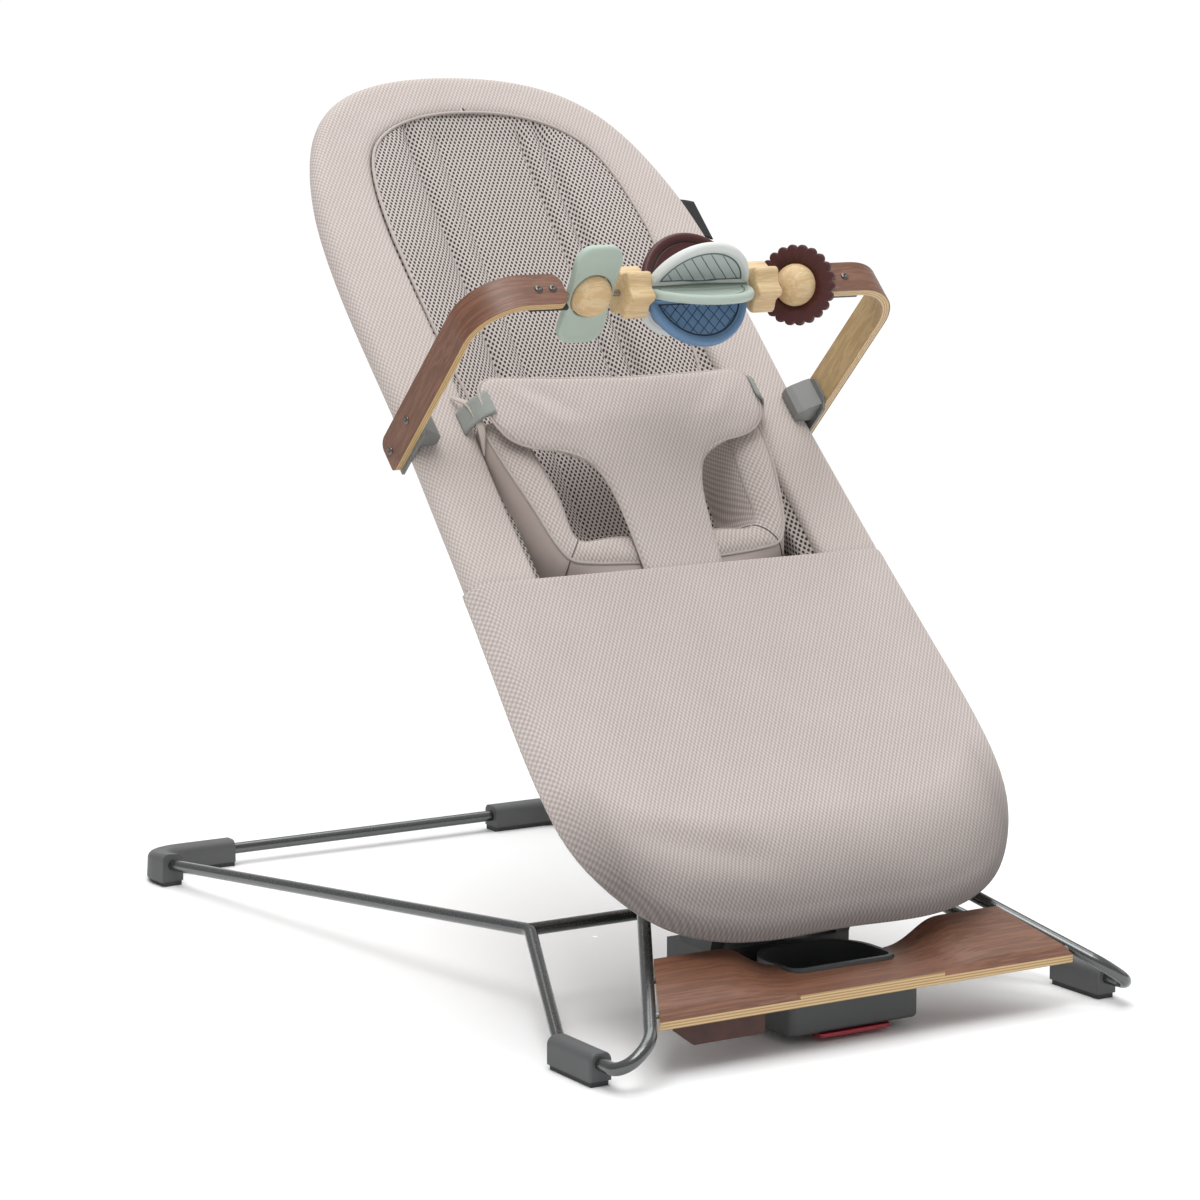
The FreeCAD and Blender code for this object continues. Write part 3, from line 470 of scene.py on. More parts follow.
def grained(n, along, across, depth, pale, mid, dark, ring, stretch=0.035):
    """Wood colour and grain height from the distance along and across the grain (mm)."""

    def scaled(*factors):
        return n.join(*[n.mul(way, f) for way, f in zip((along, across, depth), factors)])

    flow = scaled(stretch, ring * 3, ring * 3)
    warp = n.noise(flow, 0.55, 3.0, 0.55, 0.6)
    bands = n.math("SINE", n.mad(warp, 26.0, n.mul(across, ring * 2)))
    wide = n.ramp(bands, -1.0, 1.0)
    pores = n.noise(scaled(stretch * 3, 3.2, 3.2), 1.0, 4.0, 0.6)
    streak = n.ramp(pores, 0.42, 0.72)
    tone = n.mix(wide, mid, pale)
    tone = n.mix(n.mul(streak, 0.55), tone, dark)
    return tone, n.mad(streak, -0.6, n.mul(wide, 0.25))


WALNUT = (rgb(139, 94, 71), rgb(118, 77, 56), rgb(74, 45, 33))
MAPLE = (rgb(212, 184, 136), rgb(197, 165, 117), rgb(164, 131, 87))
BEECH = (rgb(232, 206, 162), rgb(220, 188, 140), rgb(196, 158, 108))


def turned_wood(name, tones, ring):
    """Turned wood with the grain along the rod."""
    n = Net(name, rough=0.5)
    out = n.split(n.mm())
    tone, height = grained(n, out[0], out[1], out[2], *tones, ring=ring)
    n.color(tone)
    n.bump(height, 0.00008, 0.5)
    n.coat(0.15, 0.35)
    return n.mat


def ply_tone(n, share, along, layers=7):
    """Cut edge of plywood from the share of the thickness."""
    step = n.math("FRACT", n.mul(share, layers / 2))
    end = n.ramp(n.math("ABSOLUTE", n.sub(step, 0.5)), 0.18, 0.32)
    speck = n.noise(n.join(n.mul(along, 0.6), n.mul(share, 30.0)), 1.0, 3.0)
    tone = n.mix(end, rgb(226, 199, 150), rgb(186, 148, 96))
    return n.mix(n.mul(speck, 0.35), tone, rgb(160, 122, 76))


# the toy-bar arm (mm): where its bend begins, the bend's inner radius, and the ply's thickness
ARM_BEND_X, ARM_BEND_H, ARM_BEND_R, ARM_PLY = 146.2, 118.0, 35.6, 6.4


def arm_wood(name):
    """Bent ply arm: walnut outside, maple inside, ply lines on the edges."""
    n = Net(name, rough=0.42)
    out = n.split(n.seat())
    ax = n.math("ABSOLUTE", out[0])
    qx = n.math("MAXIMUM", n.sub(ax, ARM_BEND_X), 0.0)
    qh = n.math("MAXIMUM", n.sub(out[2], ARM_BEND_H), 0.0)
    radius = n.math("SQRT", n.add(n.mul(qx, qx), n.mul(qh, qh)))
    share = n.div(n.sub(radius, ARM_BEND_R), ARM_PLY)
    turn = n.math("ARCTAN2", qh, qx)
    along = n.add(n.math("MINIMUM", out[2], ARM_BEND_H), n.mul(turn, 39.0))
    along = n.add(along, n.math("MAXIMUM", n.sub(ARM_BEND_X, ax), 0.0))
    along = n.add(along, n.mul(n.math("SIGN", out[0]), 400.0))
    dark, dark_h = grained(n, along, out[1], share, *WALNUT, ring=0.11)
    pale = grained(n, along, out[1], share, *MAPLE, ring=0.09)[0]
    edge = ply_tone(n, share, along)
    outer = n.ramp(share, 0.86, 0.92)
    inner = n.ramp(share, 0.14, 0.05)
    tone = n.mix(outer, edge, dark)
    n.color(n.mix(inner, tone, pale))
    n.bump(n.mul(dark_h, outer), 0.0001, 0.6)
    n.coat(0.12, 0.3)
    return n.mat


# the foot board (mm): its front edge and depth; its half width at the front and how it narrows to the back;
# its underside's height at the front, its rise to the back in the middle and at the sides, and its thickness
BOARD_FRONT, BOARD_DEPTH = -374.0, 54.0
BOARD_HALF, BOARD_NARROWS = 180.0, 29.4
BOARD_BASE, BOARD_RISE, BOARD_SIDE_RISE, BOARD_PLY = 35.5, 8.5, 26.1, 9.0


def board_wood(name):
    """Moulded ply board: walnut top with the grain across, ply lines on the cut edges."""
    n = Net(name, rough=0.42)
    out = n.split(n.mm())
    ax = n.math("ABSOLUTE", out[0])
    lift = n.div(n.add(out[1], -BOARD_FRONT), BOARD_DEPTH)
    half = n.mad(lift, -BOARD_NARROWS, BOARD_HALF)
    reach = n.mul(n.div(ax, half), BOARD_HALF - BOARD_NARROWS)
    rise = n.ramp(reach, 50.0, 96.0, BOARD_RISE, BOARD_SIDE_RISE)
    base = n.mad(lift, rise, BOARD_BASE)
    share = n.div(n.sub(out[2], base), BOARD_PLY)
    along, depth = n.add(out[0], 700.0), n.mul(out[2], 0.4)
    dark, height = grained(n, along, out[1], depth, *WALNUT, ring=0.13, stretch=0.02)
    edge = ply_tone(n, share, out[0], layers=9)
    geo = n.node("ShaderNodeNewGeometry").outputs["Normal"]
    up = n.split(geo)[2]
    top = n.math("MAXIMUM", n.ramp(share, 0.93, 0.97), n.ramp(up, 0.25, 0.4))
    skin = n.math("MAXIMUM", top, n.ramp(up, -0.3, -0.5))
    n.color(n.mix(skin, edge, dark))
    n.bump(n.mul(height, skin), 0.00012, 0.6)
    n.coat(0.12, 0.3)
    return n.mat


def leather(name):
    """Tanned leather with a fine cell grain."""
    n = Net(name, rough=0.55)
    at = n.mm()
    v = n.node("ShaderNodeTexVoronoi", feature="DISTANCE_TO_EDGE")
    n.put(v.inputs["Vector"], at)
    v.inputs["Scale"].default_value = 1.1
    cells = n.ramp(v.outputs["Distance"], 0.0, 0.25)
    wide = n.noise(at, 0.06, 4.0)
    n.color(n.mix(wide, rgb(52, 27, 22), rgb(92, 52, 42)))
    n.bump(cells, 0.00012, 0.5)
    return n.mat


def each(make, **looks):
    """The materials that one function makes, by name."""
    return {name: make(name, *values) for name, values in looks.items()}


STEEL = rgb(190, 190, 192)
M = {
    **each(
        metal,
        gunmetal=(rgb(104, 106, 106), 0.24, 0.4), steel=(STEEL, 0.3, 0.0, True), rod_steel=(STEEL, 0.25),
        dark_steel=(rgb(84, 86, 88), 0.35), screw_steel=(rgb(120, 118, 116), 0.3),
    ),
    **each(
        moulded,
        foot_grey=(rgb(88, 89, 90), 0.55), sole_grey=(rgb(70, 71, 72), 0.75, 0.0001),
        housing_grey=(rgb(74, 76, 77), 0.5), hub_grey=(rgb(62, 64, 65), 0.5),
        red=(rgb(165, 22, 45), 0.35, 0.00006, 0.2),
        clip_grey=(rgb(127, 128, 126), 0.5), sage=(rgb(184, 199, 187), 0.55), burgundy=(rgb(74, 28, 26), 0.5),
    ),
    **each(
        twill,
        cover_cloth=(rgb(227, 216, 211), rgb(174, 162, 156), 3.5, 5.0),
        # panel_cloth (its last True) has painted shade at the leg panel's foot end
        panel_cloth=(rgb(225, 214, 210), rgb(170, 158, 153), 3.44, 5.0, 0.0003, True),
        insert_cloth=(rgb(229, 218, 212), rgb(168, 155, 149), 3.7, 4.8, 0.0005),
        harness_cloth=(rgb(226, 215, 211), rgb(172, 160, 155), 3.55, 5.2),
    ),
    **each(
        spacer,
        mesh_cloth=((rgb(196, 186, 181), rgb(232, 223, 219)), 4.0, 6.0, 0.02),
        gusset_cloth=((rgb(190, 180, 174), rgb(216, 207, 202)), 4.4, 6.4, 0.0),
    ),
    **each(
        plain_knit,
        wall_cloth=(rgb(206, 192, 185), rgb(184, 169, 162), 1.1),
        piping_cloth=(rgb(214, 203, 197), rgb(192, 180, 174), 0.9),
        seam_cloth=(rgb(120, 106, 99), rgb(92, 80, 74), 0.8),
        loop_cloth=(rgb(214, 203, 195), rgb(192, 180, 172), 0.8),
    ),
    **each(
        webbing,
        webbing=(rgb(172, 177, 172), rgb(142, 147, 142)), label_cloth=(rgb(36, 36, 37), rgb(20, 20, 21)),
    ),
    **each(turned_wood, ball_wood=(BEECH, 0.08), bead_wood=(BEECH, 0.12)),
    **each(arm_wood, arm_wood=()),
    **each(board_wood, board_wood=()),
    **each(leather, leather=()),
}


def paint(obj, name):
    """Gives an object one of the materials of M, or a material, in each of its slots."""
    material = M[name] if isinstance(name, str) else name
    if not obj.data.materials:
        obj.data.materials.append(material)
    for i in range(len(obj.data.materials)):
        obj.data.materials[i] = material
    return obj


def place(obj, body, slot, *stands_for):
    """Sets a piece on its body, in the place of the CAD nodes it stands for. slot is not used."""
    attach(obj, body)
    if stands_for:
        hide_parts(*stands_for)
    return obj


# ---------------------------------------------------------------- camera
camera_data = bpy.data.cameras.new("camera")
camera = bpy.data.objects.new("camera", camera_data)
bpy.context.scene.collection.objects.link(camera)
camera_data.lens = 111.36
camera_data.sensor_width = 36.0
camera_data.clip_end = 50.0
back = Vector((-0.5227, -0.8391, 0.1511)).normalized()
camera.location = (-1.51544, -2.4403, 0.70922)
camera.rotation_mode = "QUATERNION"
camera.rotation_quaternion = (-back).to_track_quat("-Z", "Y")
bpy.context.scene.camera = camera

# ---------------------------------------------------------------- CAD nodes that stay
KEEP = {
    "gunmetal": ("rear_tube", "side_tube_left", "side_tube_right", "crossbar"),
    "foot_grey": ("front_foot_left", "front_foot_right", "rear_foot_left", "rear_foot_right"),
    "sole_grey": ("front_sole_left", "front_sole_right", "rear_sole_left", "rear_sole_right"),
    "board_wood": ("foot_board",),
    "steel": ("board_pins", "hub_axle", "seat_cross_tube", "hoop_upper", "hoop_lower"),
    "housing_grey": ("housing_lower", "housing_upper"),
    "hub_grey": ("hub_bracket_left", "hub_bracket_right", "rocker_block", "seat_bracket", "bracket_saddles"),
    "red": ("red_release",),
    "clip_grey": ("clip_left", "clip_right"),
    "arm_wood": ("arm_left", "arm_right"),
    "dark_steel": ("end_plate_left", "end_plate_right"),
    "rod_steel": ("toy_rod",),
    "ball_wood": ("fixed_ball", "bow_ball"),
    "sage": ("petal_hub",),
    "leather": ("leather_tag",),
}
for material, names in KEEP.items():
    for name in names:
        paint(nodes[name], material)

# ---------------------------------------------------------------- seat outline
# All seat shapes from here on are in seat millimetres: x, the distance up the seat, the height above it.
HOOP_R = 10.5  # from the cloth's outer edge to the middle of the hoop's tube, and from its face
WELD = 1e-5
OUTLINE = [
    (104, -309), (147, -289), (172, -261), (188, -226), (193.5, -180), (190, -85), (184.6, 0),
    (180.4, 90), (178.2, 150), (173.8, 335), (168, 375), (156, 418), (134, 462), (107, 488), (62, 506.5),
]
loop = [(0, -313)] + OUTLINE + [(0, 512.8)] + [(-x, s) for x, s in OUTLINE[::-1]]
outline = smooth(loop, 1440, closed=True)


def arc_of(points, start, end):
    """The run of a closed curve's points where the distance up the seat is inside start and end."""
    inside = (points[:, 1] >= start) & (points[:, 1] <= end)
    first = next(i for i in range(len(points)) if inside[i] and not inside[i - 1])
    turned = np.roll(points, -first, axis=0)
    keep = np.roll(inside, -first)
    return turned[: int(np.argmin(keep)) if not keep.all() else len(turned)]


def normals_of(path):
    """Unit vectors to the right of a path in the plane."""
    d = np.gradient(path, axis=0)
    d /= np.linalg.norm(d, axis=1)[:, None]
    return np.stack([d[:, 1], -d[:, 0]], axis=1)


# ---------------------------------------------------------------- cover ring at the head end
upper = even(arc_of(outline, -9, 600), 170)
upper_out = normals_of(upper)
INNER = [
    (127.5, -30), (127.5, 40), (126, 100), (121.5, 180), (119.5, 260), (118.5, 330), (111, 398), (98.5, 431),
    (73, 453), (41, 465), (0, 469),
]
inner_line = even(smooth(mirror_halves(INNER), 600), 600)


def ray_hit(origin, direction, line):
    """Distance from origin, along direction, to the nearest crossing of a polyline."""
    a, b = line[:-1], line[1:]
    e = b - a
    cross = direction[0] * e[:, 1] - direction[1] * e[:, 0]
    w = a - origin
    t = (w[:, 0] * e[:, 1] - w[:, 1] * e[:, 0]) / cross
    u = (w[:, 0] * direction[1] - w[:, 1] * direction[0]) / cross
    good = (u >= 0) & (u <= 1) & (t > 0)
    return t[good].min()


SLEEVE_R = 10.9
INNER_ROLL = [(-1.2, -7.0), (-1.0, -5.0), (-0.2, -3.2), (0.6, -1.7), (2.4, -0.5), (5.0, 0.2), (9.0, 0.8)]
UNDERSIDE = [(0.35, -21.0), (0.65, -20.0), (0.85, -17.5), (0.97, -13.0)]
sections = []
for point, out in zip(upper, upper_out):
    width = ray_hit(point, -out, inner_line)
    ring = []
    for inset, h in INNER_ROLL:
        ring.append((width - inset, h))
    for share in (0.66, 0.5, 0.34):
        ring.append((HOOP_R + (width - HOOP_R) * share, 1.0 - 0.5 * (1 - share)))
    for a in np.radians(range(90, 271, 20)):
        ring.append((HOOP_R + SLEEVE_R * math.cos(a), -HOOP_R + SLEEVE_R * math.sin(a)))
    for share, h in UNDERSIDE:
        ring.append((HOOP_R + (width - HOOP_R) * share, h))
    ring = np.array(ring)
    flat = point[None] - out[None] * ring[:, :1]
    sections.append(np.concatenate([flat, ring[:, 1:]], axis=1))
sections = np.array(sections)
wrap = np.linalg.norm(np.diff(sections, axis=1), axis=2)
travel = np.concatenate([np.zeros((len(sections), 1)), np.cumsum(wrap, axis=1)], axis=1)
edge = travel[:, 0:1] + travel[:, 10:11] - travel
cover_uv = upper[:, None] - upper_out[:, None] * (edge + HOOP_R)[:, :, None]
cover = grid("cover_upper_cloth", row(sections), around=True, uv=cover_uv * 0.001, caps=True)
closed_up(cover)
paint(cover, "cover_cloth")
subdivided(cover)
place(cover, "seat", "cover_cloth", "cover_upper")

# ---------------------------------------------------------------- leg panel
lower = arc_of(np.roll(outline, 400, axis=0), -600, 0.0)
lower = even(lower, 181)
if lower[0, 0] > 0:
    lower = lower[::-1]
lower_out = normals_of(lower)
grow = 3.0 - 2.0 * eased((-lower[:, 1] - 200) / 80)
lower = lower + lower_out * grow[:, None]
lower[0, 1] = lower[-1, 1] = 0.0
corner = 66  # points down each side; the rest goes round the foot end
side_n, foot_n = corner, len(lower) - 1 - 2 * corner
left = lower[: corner + 1]
foot = lower[corner : len(lower) - corner]
right = lower[::-1][: corner + 1]
across = np.linspace(0, 1, foot_n + 1)
top = np.stack([left[0, 0] + (right[0, 0] - left[0, 0]) * across, np.zeros(foot_n + 1)], axis=1)
down = np.linspace(0, 1, side_n + 1)
patch = np.empty((side_n + 1, foot_n + 1, 2))
for i, v in enumerate(down):
    for j, u in enumerate(across):
        patch[i, j] = (
            (1 - v) * top[j] + v * foot[j] + (1 - u) * left[i] + u * right[i]
            - ((1 - u) * (1 - v) * top[0] + u * (1 - v) * top[-1] + (1 - u) * v * foot[0] + u * v * foot[-1])
        )


def edge_distance(points, line):
    """Distance in the plane from each point to a polyline."""
    p = points.reshape(-1, 2)
    best = np.full(len(p), 1e9)
    for a, b in zip(line[:-1], line[1:]):
        e = b - a
        t = np.clip(((p - a) @ e) / max(e @ e, 1e-9), 0, 1)
        best = np.minimum(best, np.linalg.norm(p - a - t[:, None] * e, axis=1))
    return best.reshape(points.shape[:-1])


distance = edge_distance(patch, lower[::2])


def folds(x, s, drawn, over, fade):
    """Height of the folds drawn as (x0, s0, x1, s1, width, depth), which fade out a bit past their ends."""
    h = 0.0
    for x0, s0, x1, s1, width, depth in drawn:
        a, e = np.array([x0, s0]), np.array([x1 - x0, s1 - s0])
        t = ((x - a[0]) * e[0] + (s - a[1]) * e[1]) / (e @ e)
        away = np.abs((x - a[0]) * e[1] - (s - a[1]) * e[0]) / np.linalg.norm(e)
        ends = eased((t + over) / fade) * eased((1 + over - t) / fade)
        h = h + depth * np.exp(-((away / width) ** 2)) * ends
    return h


CLEAR_R = 11.0  # the cloth keeps this far from the middle of the lower hoop
LEG_FOLDS = [
    (-146, -226, -40, -262, 13, -4.2), (-150, -206, -60, -236, 13, 2.0), (-128, -268, -50, -284, 12, 2.6),
    (124, -262, 60, -284, 12, -1.4),
]


def panel_height(x, s, d):
    """Height of the leg panel's face: rolled at the sides, turned down at the foot end."""
    foot_end = eased((-s - 170) / 120)
    roll = 13.0 + 30.0 * foot_end
    drop = 12.0 + 6.0 * foot_end
    q = np.clip(1 - d / roll, 0, 1)
    h = 3.4 - drop * (1 - np.sqrt(np.maximum(0, 1 - q ** (2.0 + 0.4 * foot_end))))
    h += 1.4 * np.sin(np.pi * np.clip(d / 130, 0, 1)) * eased(-s / 60)
    h += folds(x, s, LEG_FOLDS, 0.15, 0.4)
    off = np.clip(np.abs(d - 12.0) / CLEAR_R, 0, 1)
    over_tube = np.where(off < 1, -HOOP_R + CLEAR_R * np.sqrt(1 - off * off), -40.0)
    return np.maximum(h, over_tube)


face_h = panel_height(patch[..., 0], patch[..., 1], distance)
face = lifted(patch, face_h)
sag = 44.0 * eased(1 + patch[..., 1] / 120) * (1 - np.clip(np.abs(patch[..., 0]) / 150, 0, 1) ** 3)
under_h = -24.2 + 11.5 * (1 - np.sqrt(np.maximum(0, 1 - np.clip(1 - distance / 12, 0, 1) ** 2))) - sag
under = lifted(patch, under_h)
panel_uv = patch * 0.001
top_sheet = grid("leg_face", row(face), uv=panel_uv)
low_sheet = grid("leg_under", row(under), uv=panel_uv + [0.7, 0], flip=True)
hem = row(np.array([face[0] + fold for fold in ([0, 0, 0], [0, 0.6, -0.7], [0, 0.1, -1.8], [0, -9, -2.2])]))
hem_sheet = grid("leg_hem", hem, uv=arc_uv(hem), flip=True)
# side wall between the face's and the underside's rims
rim_top = np.concatenate([face[:, 0], face[-1, 1:], face[::-1, -1][1:]])
rim_low = np.concatenate([under[:, 0], under[-1, 1:], under[::-1, -1][1:]])
rim_out = normals_of(rim_top[:, :2])
if (rim_out[len(rim_out) // 2] @ [0, 1]) > 0:
    rim_out = -rim_out
walls = [rim_top]
for share, push in ((0.25, 0.5), (0.5, 0.7), (0.75, 0.5)):
    step = rim_top * (1 - share) + rim_low * share
    step[:, :2] += rim_out * push
    walls.append(step)
walls.append(rim_low)
walls = np.array(walls)
wall_uv = walls[..., :2] + rim_out[None] * (walls[:1, :, 2] - walls[..., 2])[..., None]
wall_sheet = grid("leg_wall", row(walls), uv=wall_uv * 0.001)
leg = joined("leg_panel_cloth", [top_sheet, low_sheet, hem_sheet, wall_sheet])
closed_up(leg, 2e-5)
paint(leg, "panel_cloth")
subdivided(leg)
place(leg, "seat", "panel_cloth", "leg_panel")

# ---------------------------------------------------------------- back pad and its mesh walls
# places up the seat, with the pad's depth below the ring, its half width, and its edge's height
DEPTH = [(-62, 24), (-20, 46), (30, 53), (100, 46), (200, 31), (300, 18.5), (400, 9), (468, 3)]
PAD_EDGE = [
    (-64, 118), (0, 118), (100, 116), (150, 110), (185, 107), (205, 110), (245, 113.5), (292, 116),
    (335, 117.3),
]
PAD_EDGE_H = [
    (-64, -22), (0, -30), (100, -24), (150, -17), (185, -13), (245, -7), (292, -3), (335, 0.3), (480, 0.6),
]
PAD_HEAD = [(117.3, 335), (110, 398), (97.5, 430), (72, 452), (40.5, 463.5), (0, 467.5)]
head = smooth(mirror_halves(PAD_HEAD), 241)[:121]
side_rows = np.linspace(-64, 330, 100)
pad_rows = [(curve_of(PAD_EDGE, s), s) for s in side_rows] + [tuple(p) for p in head[::2]]
pad_rows = np.array(pad_rows)
pad_rows[-1] = (1.0, 467.5)
# seams in the pad's face: x, depth, width
CREASES = [(-60, 3.0, 3.4), (-34, 1.8, 2.8), (44, 4.0, 1.9), (64, 3.0, 2.8)]


def pad_height(x, s, half):
    """Height of the pad's face: raised sides, a flat band inside each, and a hollow middle."""
    a = np.abs(x)
    crease = min(62.0, max(half - 4.0, 1.0))
    deep = curve_of(DEPTH, s) * eased((469 - s) / 30)
    high = curve_of(PAD_EDGE_H, s)
    q = np.clip((a - crease) / max(half - crease, 1e-3), 0, 1)
    climb = np.sqrt(np.maximum(0, 1 - (1 - q) ** 2))
    middle = -deep - 1.6 * np.cos(np.clip(a / 42.0, 0, 1) * math.pi / 2)
    h = np.where(a <= crease, middle, -deep + (deep + high) * climb)
    near = eased((462 - s) / 26)
    for at_x, depth, width in CREASES:
        h -= near * depth * np.exp(-np.abs((x - at_x) / width) ** 1.3) * (half > abs(at_x) + 3)
    for start, end, swell in ((-34.0, 44.0, 1.8), (44.0, 64.0, 2.2), (-34.0, -60.0, 1.6)):
        h += near * swell * np.sin(np.clip((x - start) / (end - start), 0, 1) * math.pi) ** 2
    rim = np.exp(-((half - a) / 4.0)) * (half < 66)
    return h * (1 - rim) + high * rim


columns = np.linspace(-1, 1, 241)
shares = np.sin(columns * math.pi / 2) * 0.35 + columns * 0.65
pad = np.empty((len(pad_rows), len(shares), 3))
for i, (half, s) in enumerate(pad_rows):
    x = shares * half
    pad[i] = np.stack([x, np.full_like(x, s), pad_height(x, s, half)], axis=1)
slope = np.gradient(pad[..., 2], axis=1) / np.maximum(1e-6, np.gradient(pad[..., 0], axis=1))
run = np.sqrt(1 + np.clip(slope, -3, 3) ** 2)
pad_u = np.zeros(pad.shape[:2])
pad_u[:, 1:] = np.cumsum(0.5 * (run[:, 1:] + run[:, :-1]) * np.diff(pad[..., 0], axis=1), axis=1)
pad_u -= pad_u[:, len(columns) // 2, None]
pad_uv = np.stack([pad_u, pad[..., 1]], axis=2) * 0.001
pad_mesh = grid("back_pad_mesh", row(pad), uv=pad_uv)
thick(pad_mesh, 0.009)
paint(pad_mesh, "mesh_cloth")
place(pad_mesh, "seat", "mesh_cloth", "back_pad")

edge_path = np.array([(half + 0.6, s, curve_of(PAD_EDGE_H, s) + 0.6) for half, s in pad_rows[44::2]])
edge_path = np.concatenate([edge_path, (edge_path * [-1, 1, 1])[::-1][1:]])
piping = tube("pad_piping", row(even(edge_path, 260)), 0.0013)
paint(piping, "piping_cloth")
place(piping, "seat", "mesh_cloth")

ring_edge = even(smooth(INNER[:6], 200), 200)
for side, name in ((1, "gusset_right"), (-1, "gusset_left")):
    strip = []
    for s in np.linspace(-58, 333, 110):
        x_out = np.interp(s, ring_edge[:, 1], ring_edge[:, 0]) + 1.5
        x_in = curve_of(PAD_EDGE, s)
        h_in = curve_of(PAD_EDGE_H, s)
        fold = max(h_in, -12.0)
        line = []
        for k in np.linspace(0, 1, 8):
            h = -5.0 + (fold + 5.0) * k - math.sin(math.pi * k)
            line.append((side * (x_out + (x_in - x_out) * k), s, h))
        line += [(side * (x_in - 0.4), s, fold + (h_in - fold) * k) for k in (0.3, 0.65, 1.0)]
        strip.append(line)
    strip = row(np.array(strip))
    wall = grid(name + "_mesh", strip, uv=arc_uv(strip), flip=side > 0)
    thick(wall, 0.0018)
    paint(wall, "gusset_cloth")
    place(wall, "seat", "mesh_cloth", name)

# ---------------------------------------------------------------- infant insert
def guide(*points):
    """One of the insert's four long edges, from points of its right half."""
    return even(smooth(mirror_halves(points), 600), 121)


front_corner = (93.5, 16.5, 0)
out_top = guide(
    (122.5, 143, 7), (118.5, 100, 9), (108.5, 52, 7), (99, 23, 2), front_corner, (84, 14.2, -2),
    (50, 11.5, -4), (0, 9.5, -4.5),
)
in_top = guide(
    (92, 143, 8.5), (90, 120, 8), (86, 90, 7), (83.4, 60, 4), (82.6, 42, 0.5), (80, 36.5, -1.5),
    (60, 34.5, -3), (0, 33, -3.5),
)
in_low = guide(
    (80, 143, -32), (76, 110, -38), (73, 77, -42), (71, 58, -44), (68, 48, -46), (50, 45, -48), (0, 45, -48),
)
out_low = guide(
    (121.5, 143, -8), (121, 100, -16), (117, 60, -25), (110, 25, -30), (98, 0, -23), (70, -11, -14),
    (0, -14, -12),
)
# the faces between them: bulge and rows of points
INNER_FACE, TOP_FACE, OUTER_FACE, UNDER_FACE = (3.0, 6), (4.2, 8), (2.5, 7), (0.0, 5)
sweep = []
insert_uv = []
for a, b, c, d in zip(in_low, in_top, out_top, out_low):
    side = (c - b)[:2] / np.linalg.norm((c - b)[:2])
    plan = []
    middle = (a + b + c + d) / 4
    line = []
    for p, q, shape in ((a, b, INNER_FACE), (b, c, TOP_FACE), (c, d, OUTER_FACE), (d, a, UNDER_FACE)):
        bulge, count = shape
        for t in np.arange(count) / count:
            point = p + (q - p) * t
            away = point - middle
            away /= np.linalg.norm(away)
            line.append(point + away * bulge * math.sin(math.pi * t) ** 0.8)
            drop = 0.0
            if shape == INNER_FACE:
                drop = point[2] - b[2]
            elif shape != TOP_FACE:
                drop = c[2] - point[2]
            plan.append(point[:2] + side * drop)
    sweep.append(line)
    insert_uv.append(plan)
sweep = np.array(sweep)
insert_uv = np.array(insert_uv) * 0.001
insert = grid("insert_cushion_cloth", row(sweep), around=True, uv=insert_uv, caps=True)
closed_up(insert)
insert.data.materials.append(M["insert_cloth"])
insert.data.materials.append(M["wall_cloth"])
ring_points = sweep.shape[1]
for i in range((len(sweep) - 1) * ring_points):
    insert.data.polygons[i].material_index = int(i % ring_points >= INNER_FACE[1] + TOP_FACE[1])
subdivided(insert)
place(insert, "seat", "insert_cloth", "insert_cushion")
cord_lines = [
    tube("insert_cord_a", row(out_top + [0, 0, 0.2]), 0.0013),
    tube("insert_cord_b", row(in_top + [0, 0, 0.1]), 0.0006),
]
corner = int(np.argmin(np.linalg.norm(out_top[:60, :2] - front_corner[:2], axis=1)))
seams = []
for k in (corner, len(out_top) - 1 - corner):
    seams.append(tube("insert_mitre", row(smooth(sweep[k][1:20], 60)), 0.0005))
seams = joined("insert_seams", seams)
paint(seams, "seam_cloth")
place(seams, "seat", "insert_cloth")
cords = joined("insert_piping", cord_lines)
paint(cords, "piping_cloth")
place(cords, "seat", "insert_cloth")

# ---------------------------------------------------------------- harness panel
# half widths up the seat, and the height of the panel up the seat
HARNESS = [
    (34, -6), (34.5, 10), (35.5, 30), (38.5, 60), (44, 80), (54, 94), (70, 102.5), (88, 106), (104, 111.5),
    (115.5, 121), (121, 137), (121.5, 152), (117, 162.5), (106, 166.5),
]
RISE = [(-8, -4.2), (0, -1.6), (30, 4), (60, 10), (95, 18.5), (125, 25), (170, 29)]
h_edge = even(smooth(HARNESS, 400), 90)
cols = np.linspace(-1, 1, 81)
sheet_rows = []
for v, (w, s) in zip(np.linspace(0, 1, len(h_edge)), h_edge):
    centre = -6 + 168 * v
    x = cols * w
    bow = np.abs(cols) ** (2.0 + 2.5 * (1 - v))
    lean = 4.0 * eased((s - 120) / 40) * np.clip(-cols, 0, 1)
    y = centre + (s - centre) * bow
    sheet_rows.append(np.stack([x - 0.8 * lean, y + lean], axis=1))
sheet_rows = np.array(sheet_rows)
hd = edge_distance(sheet_rows, np.concatenate([sheet_rows[:, -1], sheet_rows[-1, ::-1], sheet_rows[::-1, 0]]))


HARNESS_FOLDS = [
    (-100, 158, -62, 118, 7, 1.5), (-84, 160, -44, 128, 7, -1.2), (100, 152, 66, 116, 8, 1.4),
    (84, 158, 50, 124, 8, -1.0), (-34, 96, -30, 20, 9, 0.9), (30, 100, 26, 30, 9, 0.8),
]


def harness_height(x, s):
    base = curve_of(RISE, s)
    h = base - 3.2 * np.clip(np.abs(x) / 121, 0, 1) ** 2.5 + 1.0 * np.cos(x / 55)
    return h + folds(x, s, HARNESS_FOLDS, 0.3, 0.6)


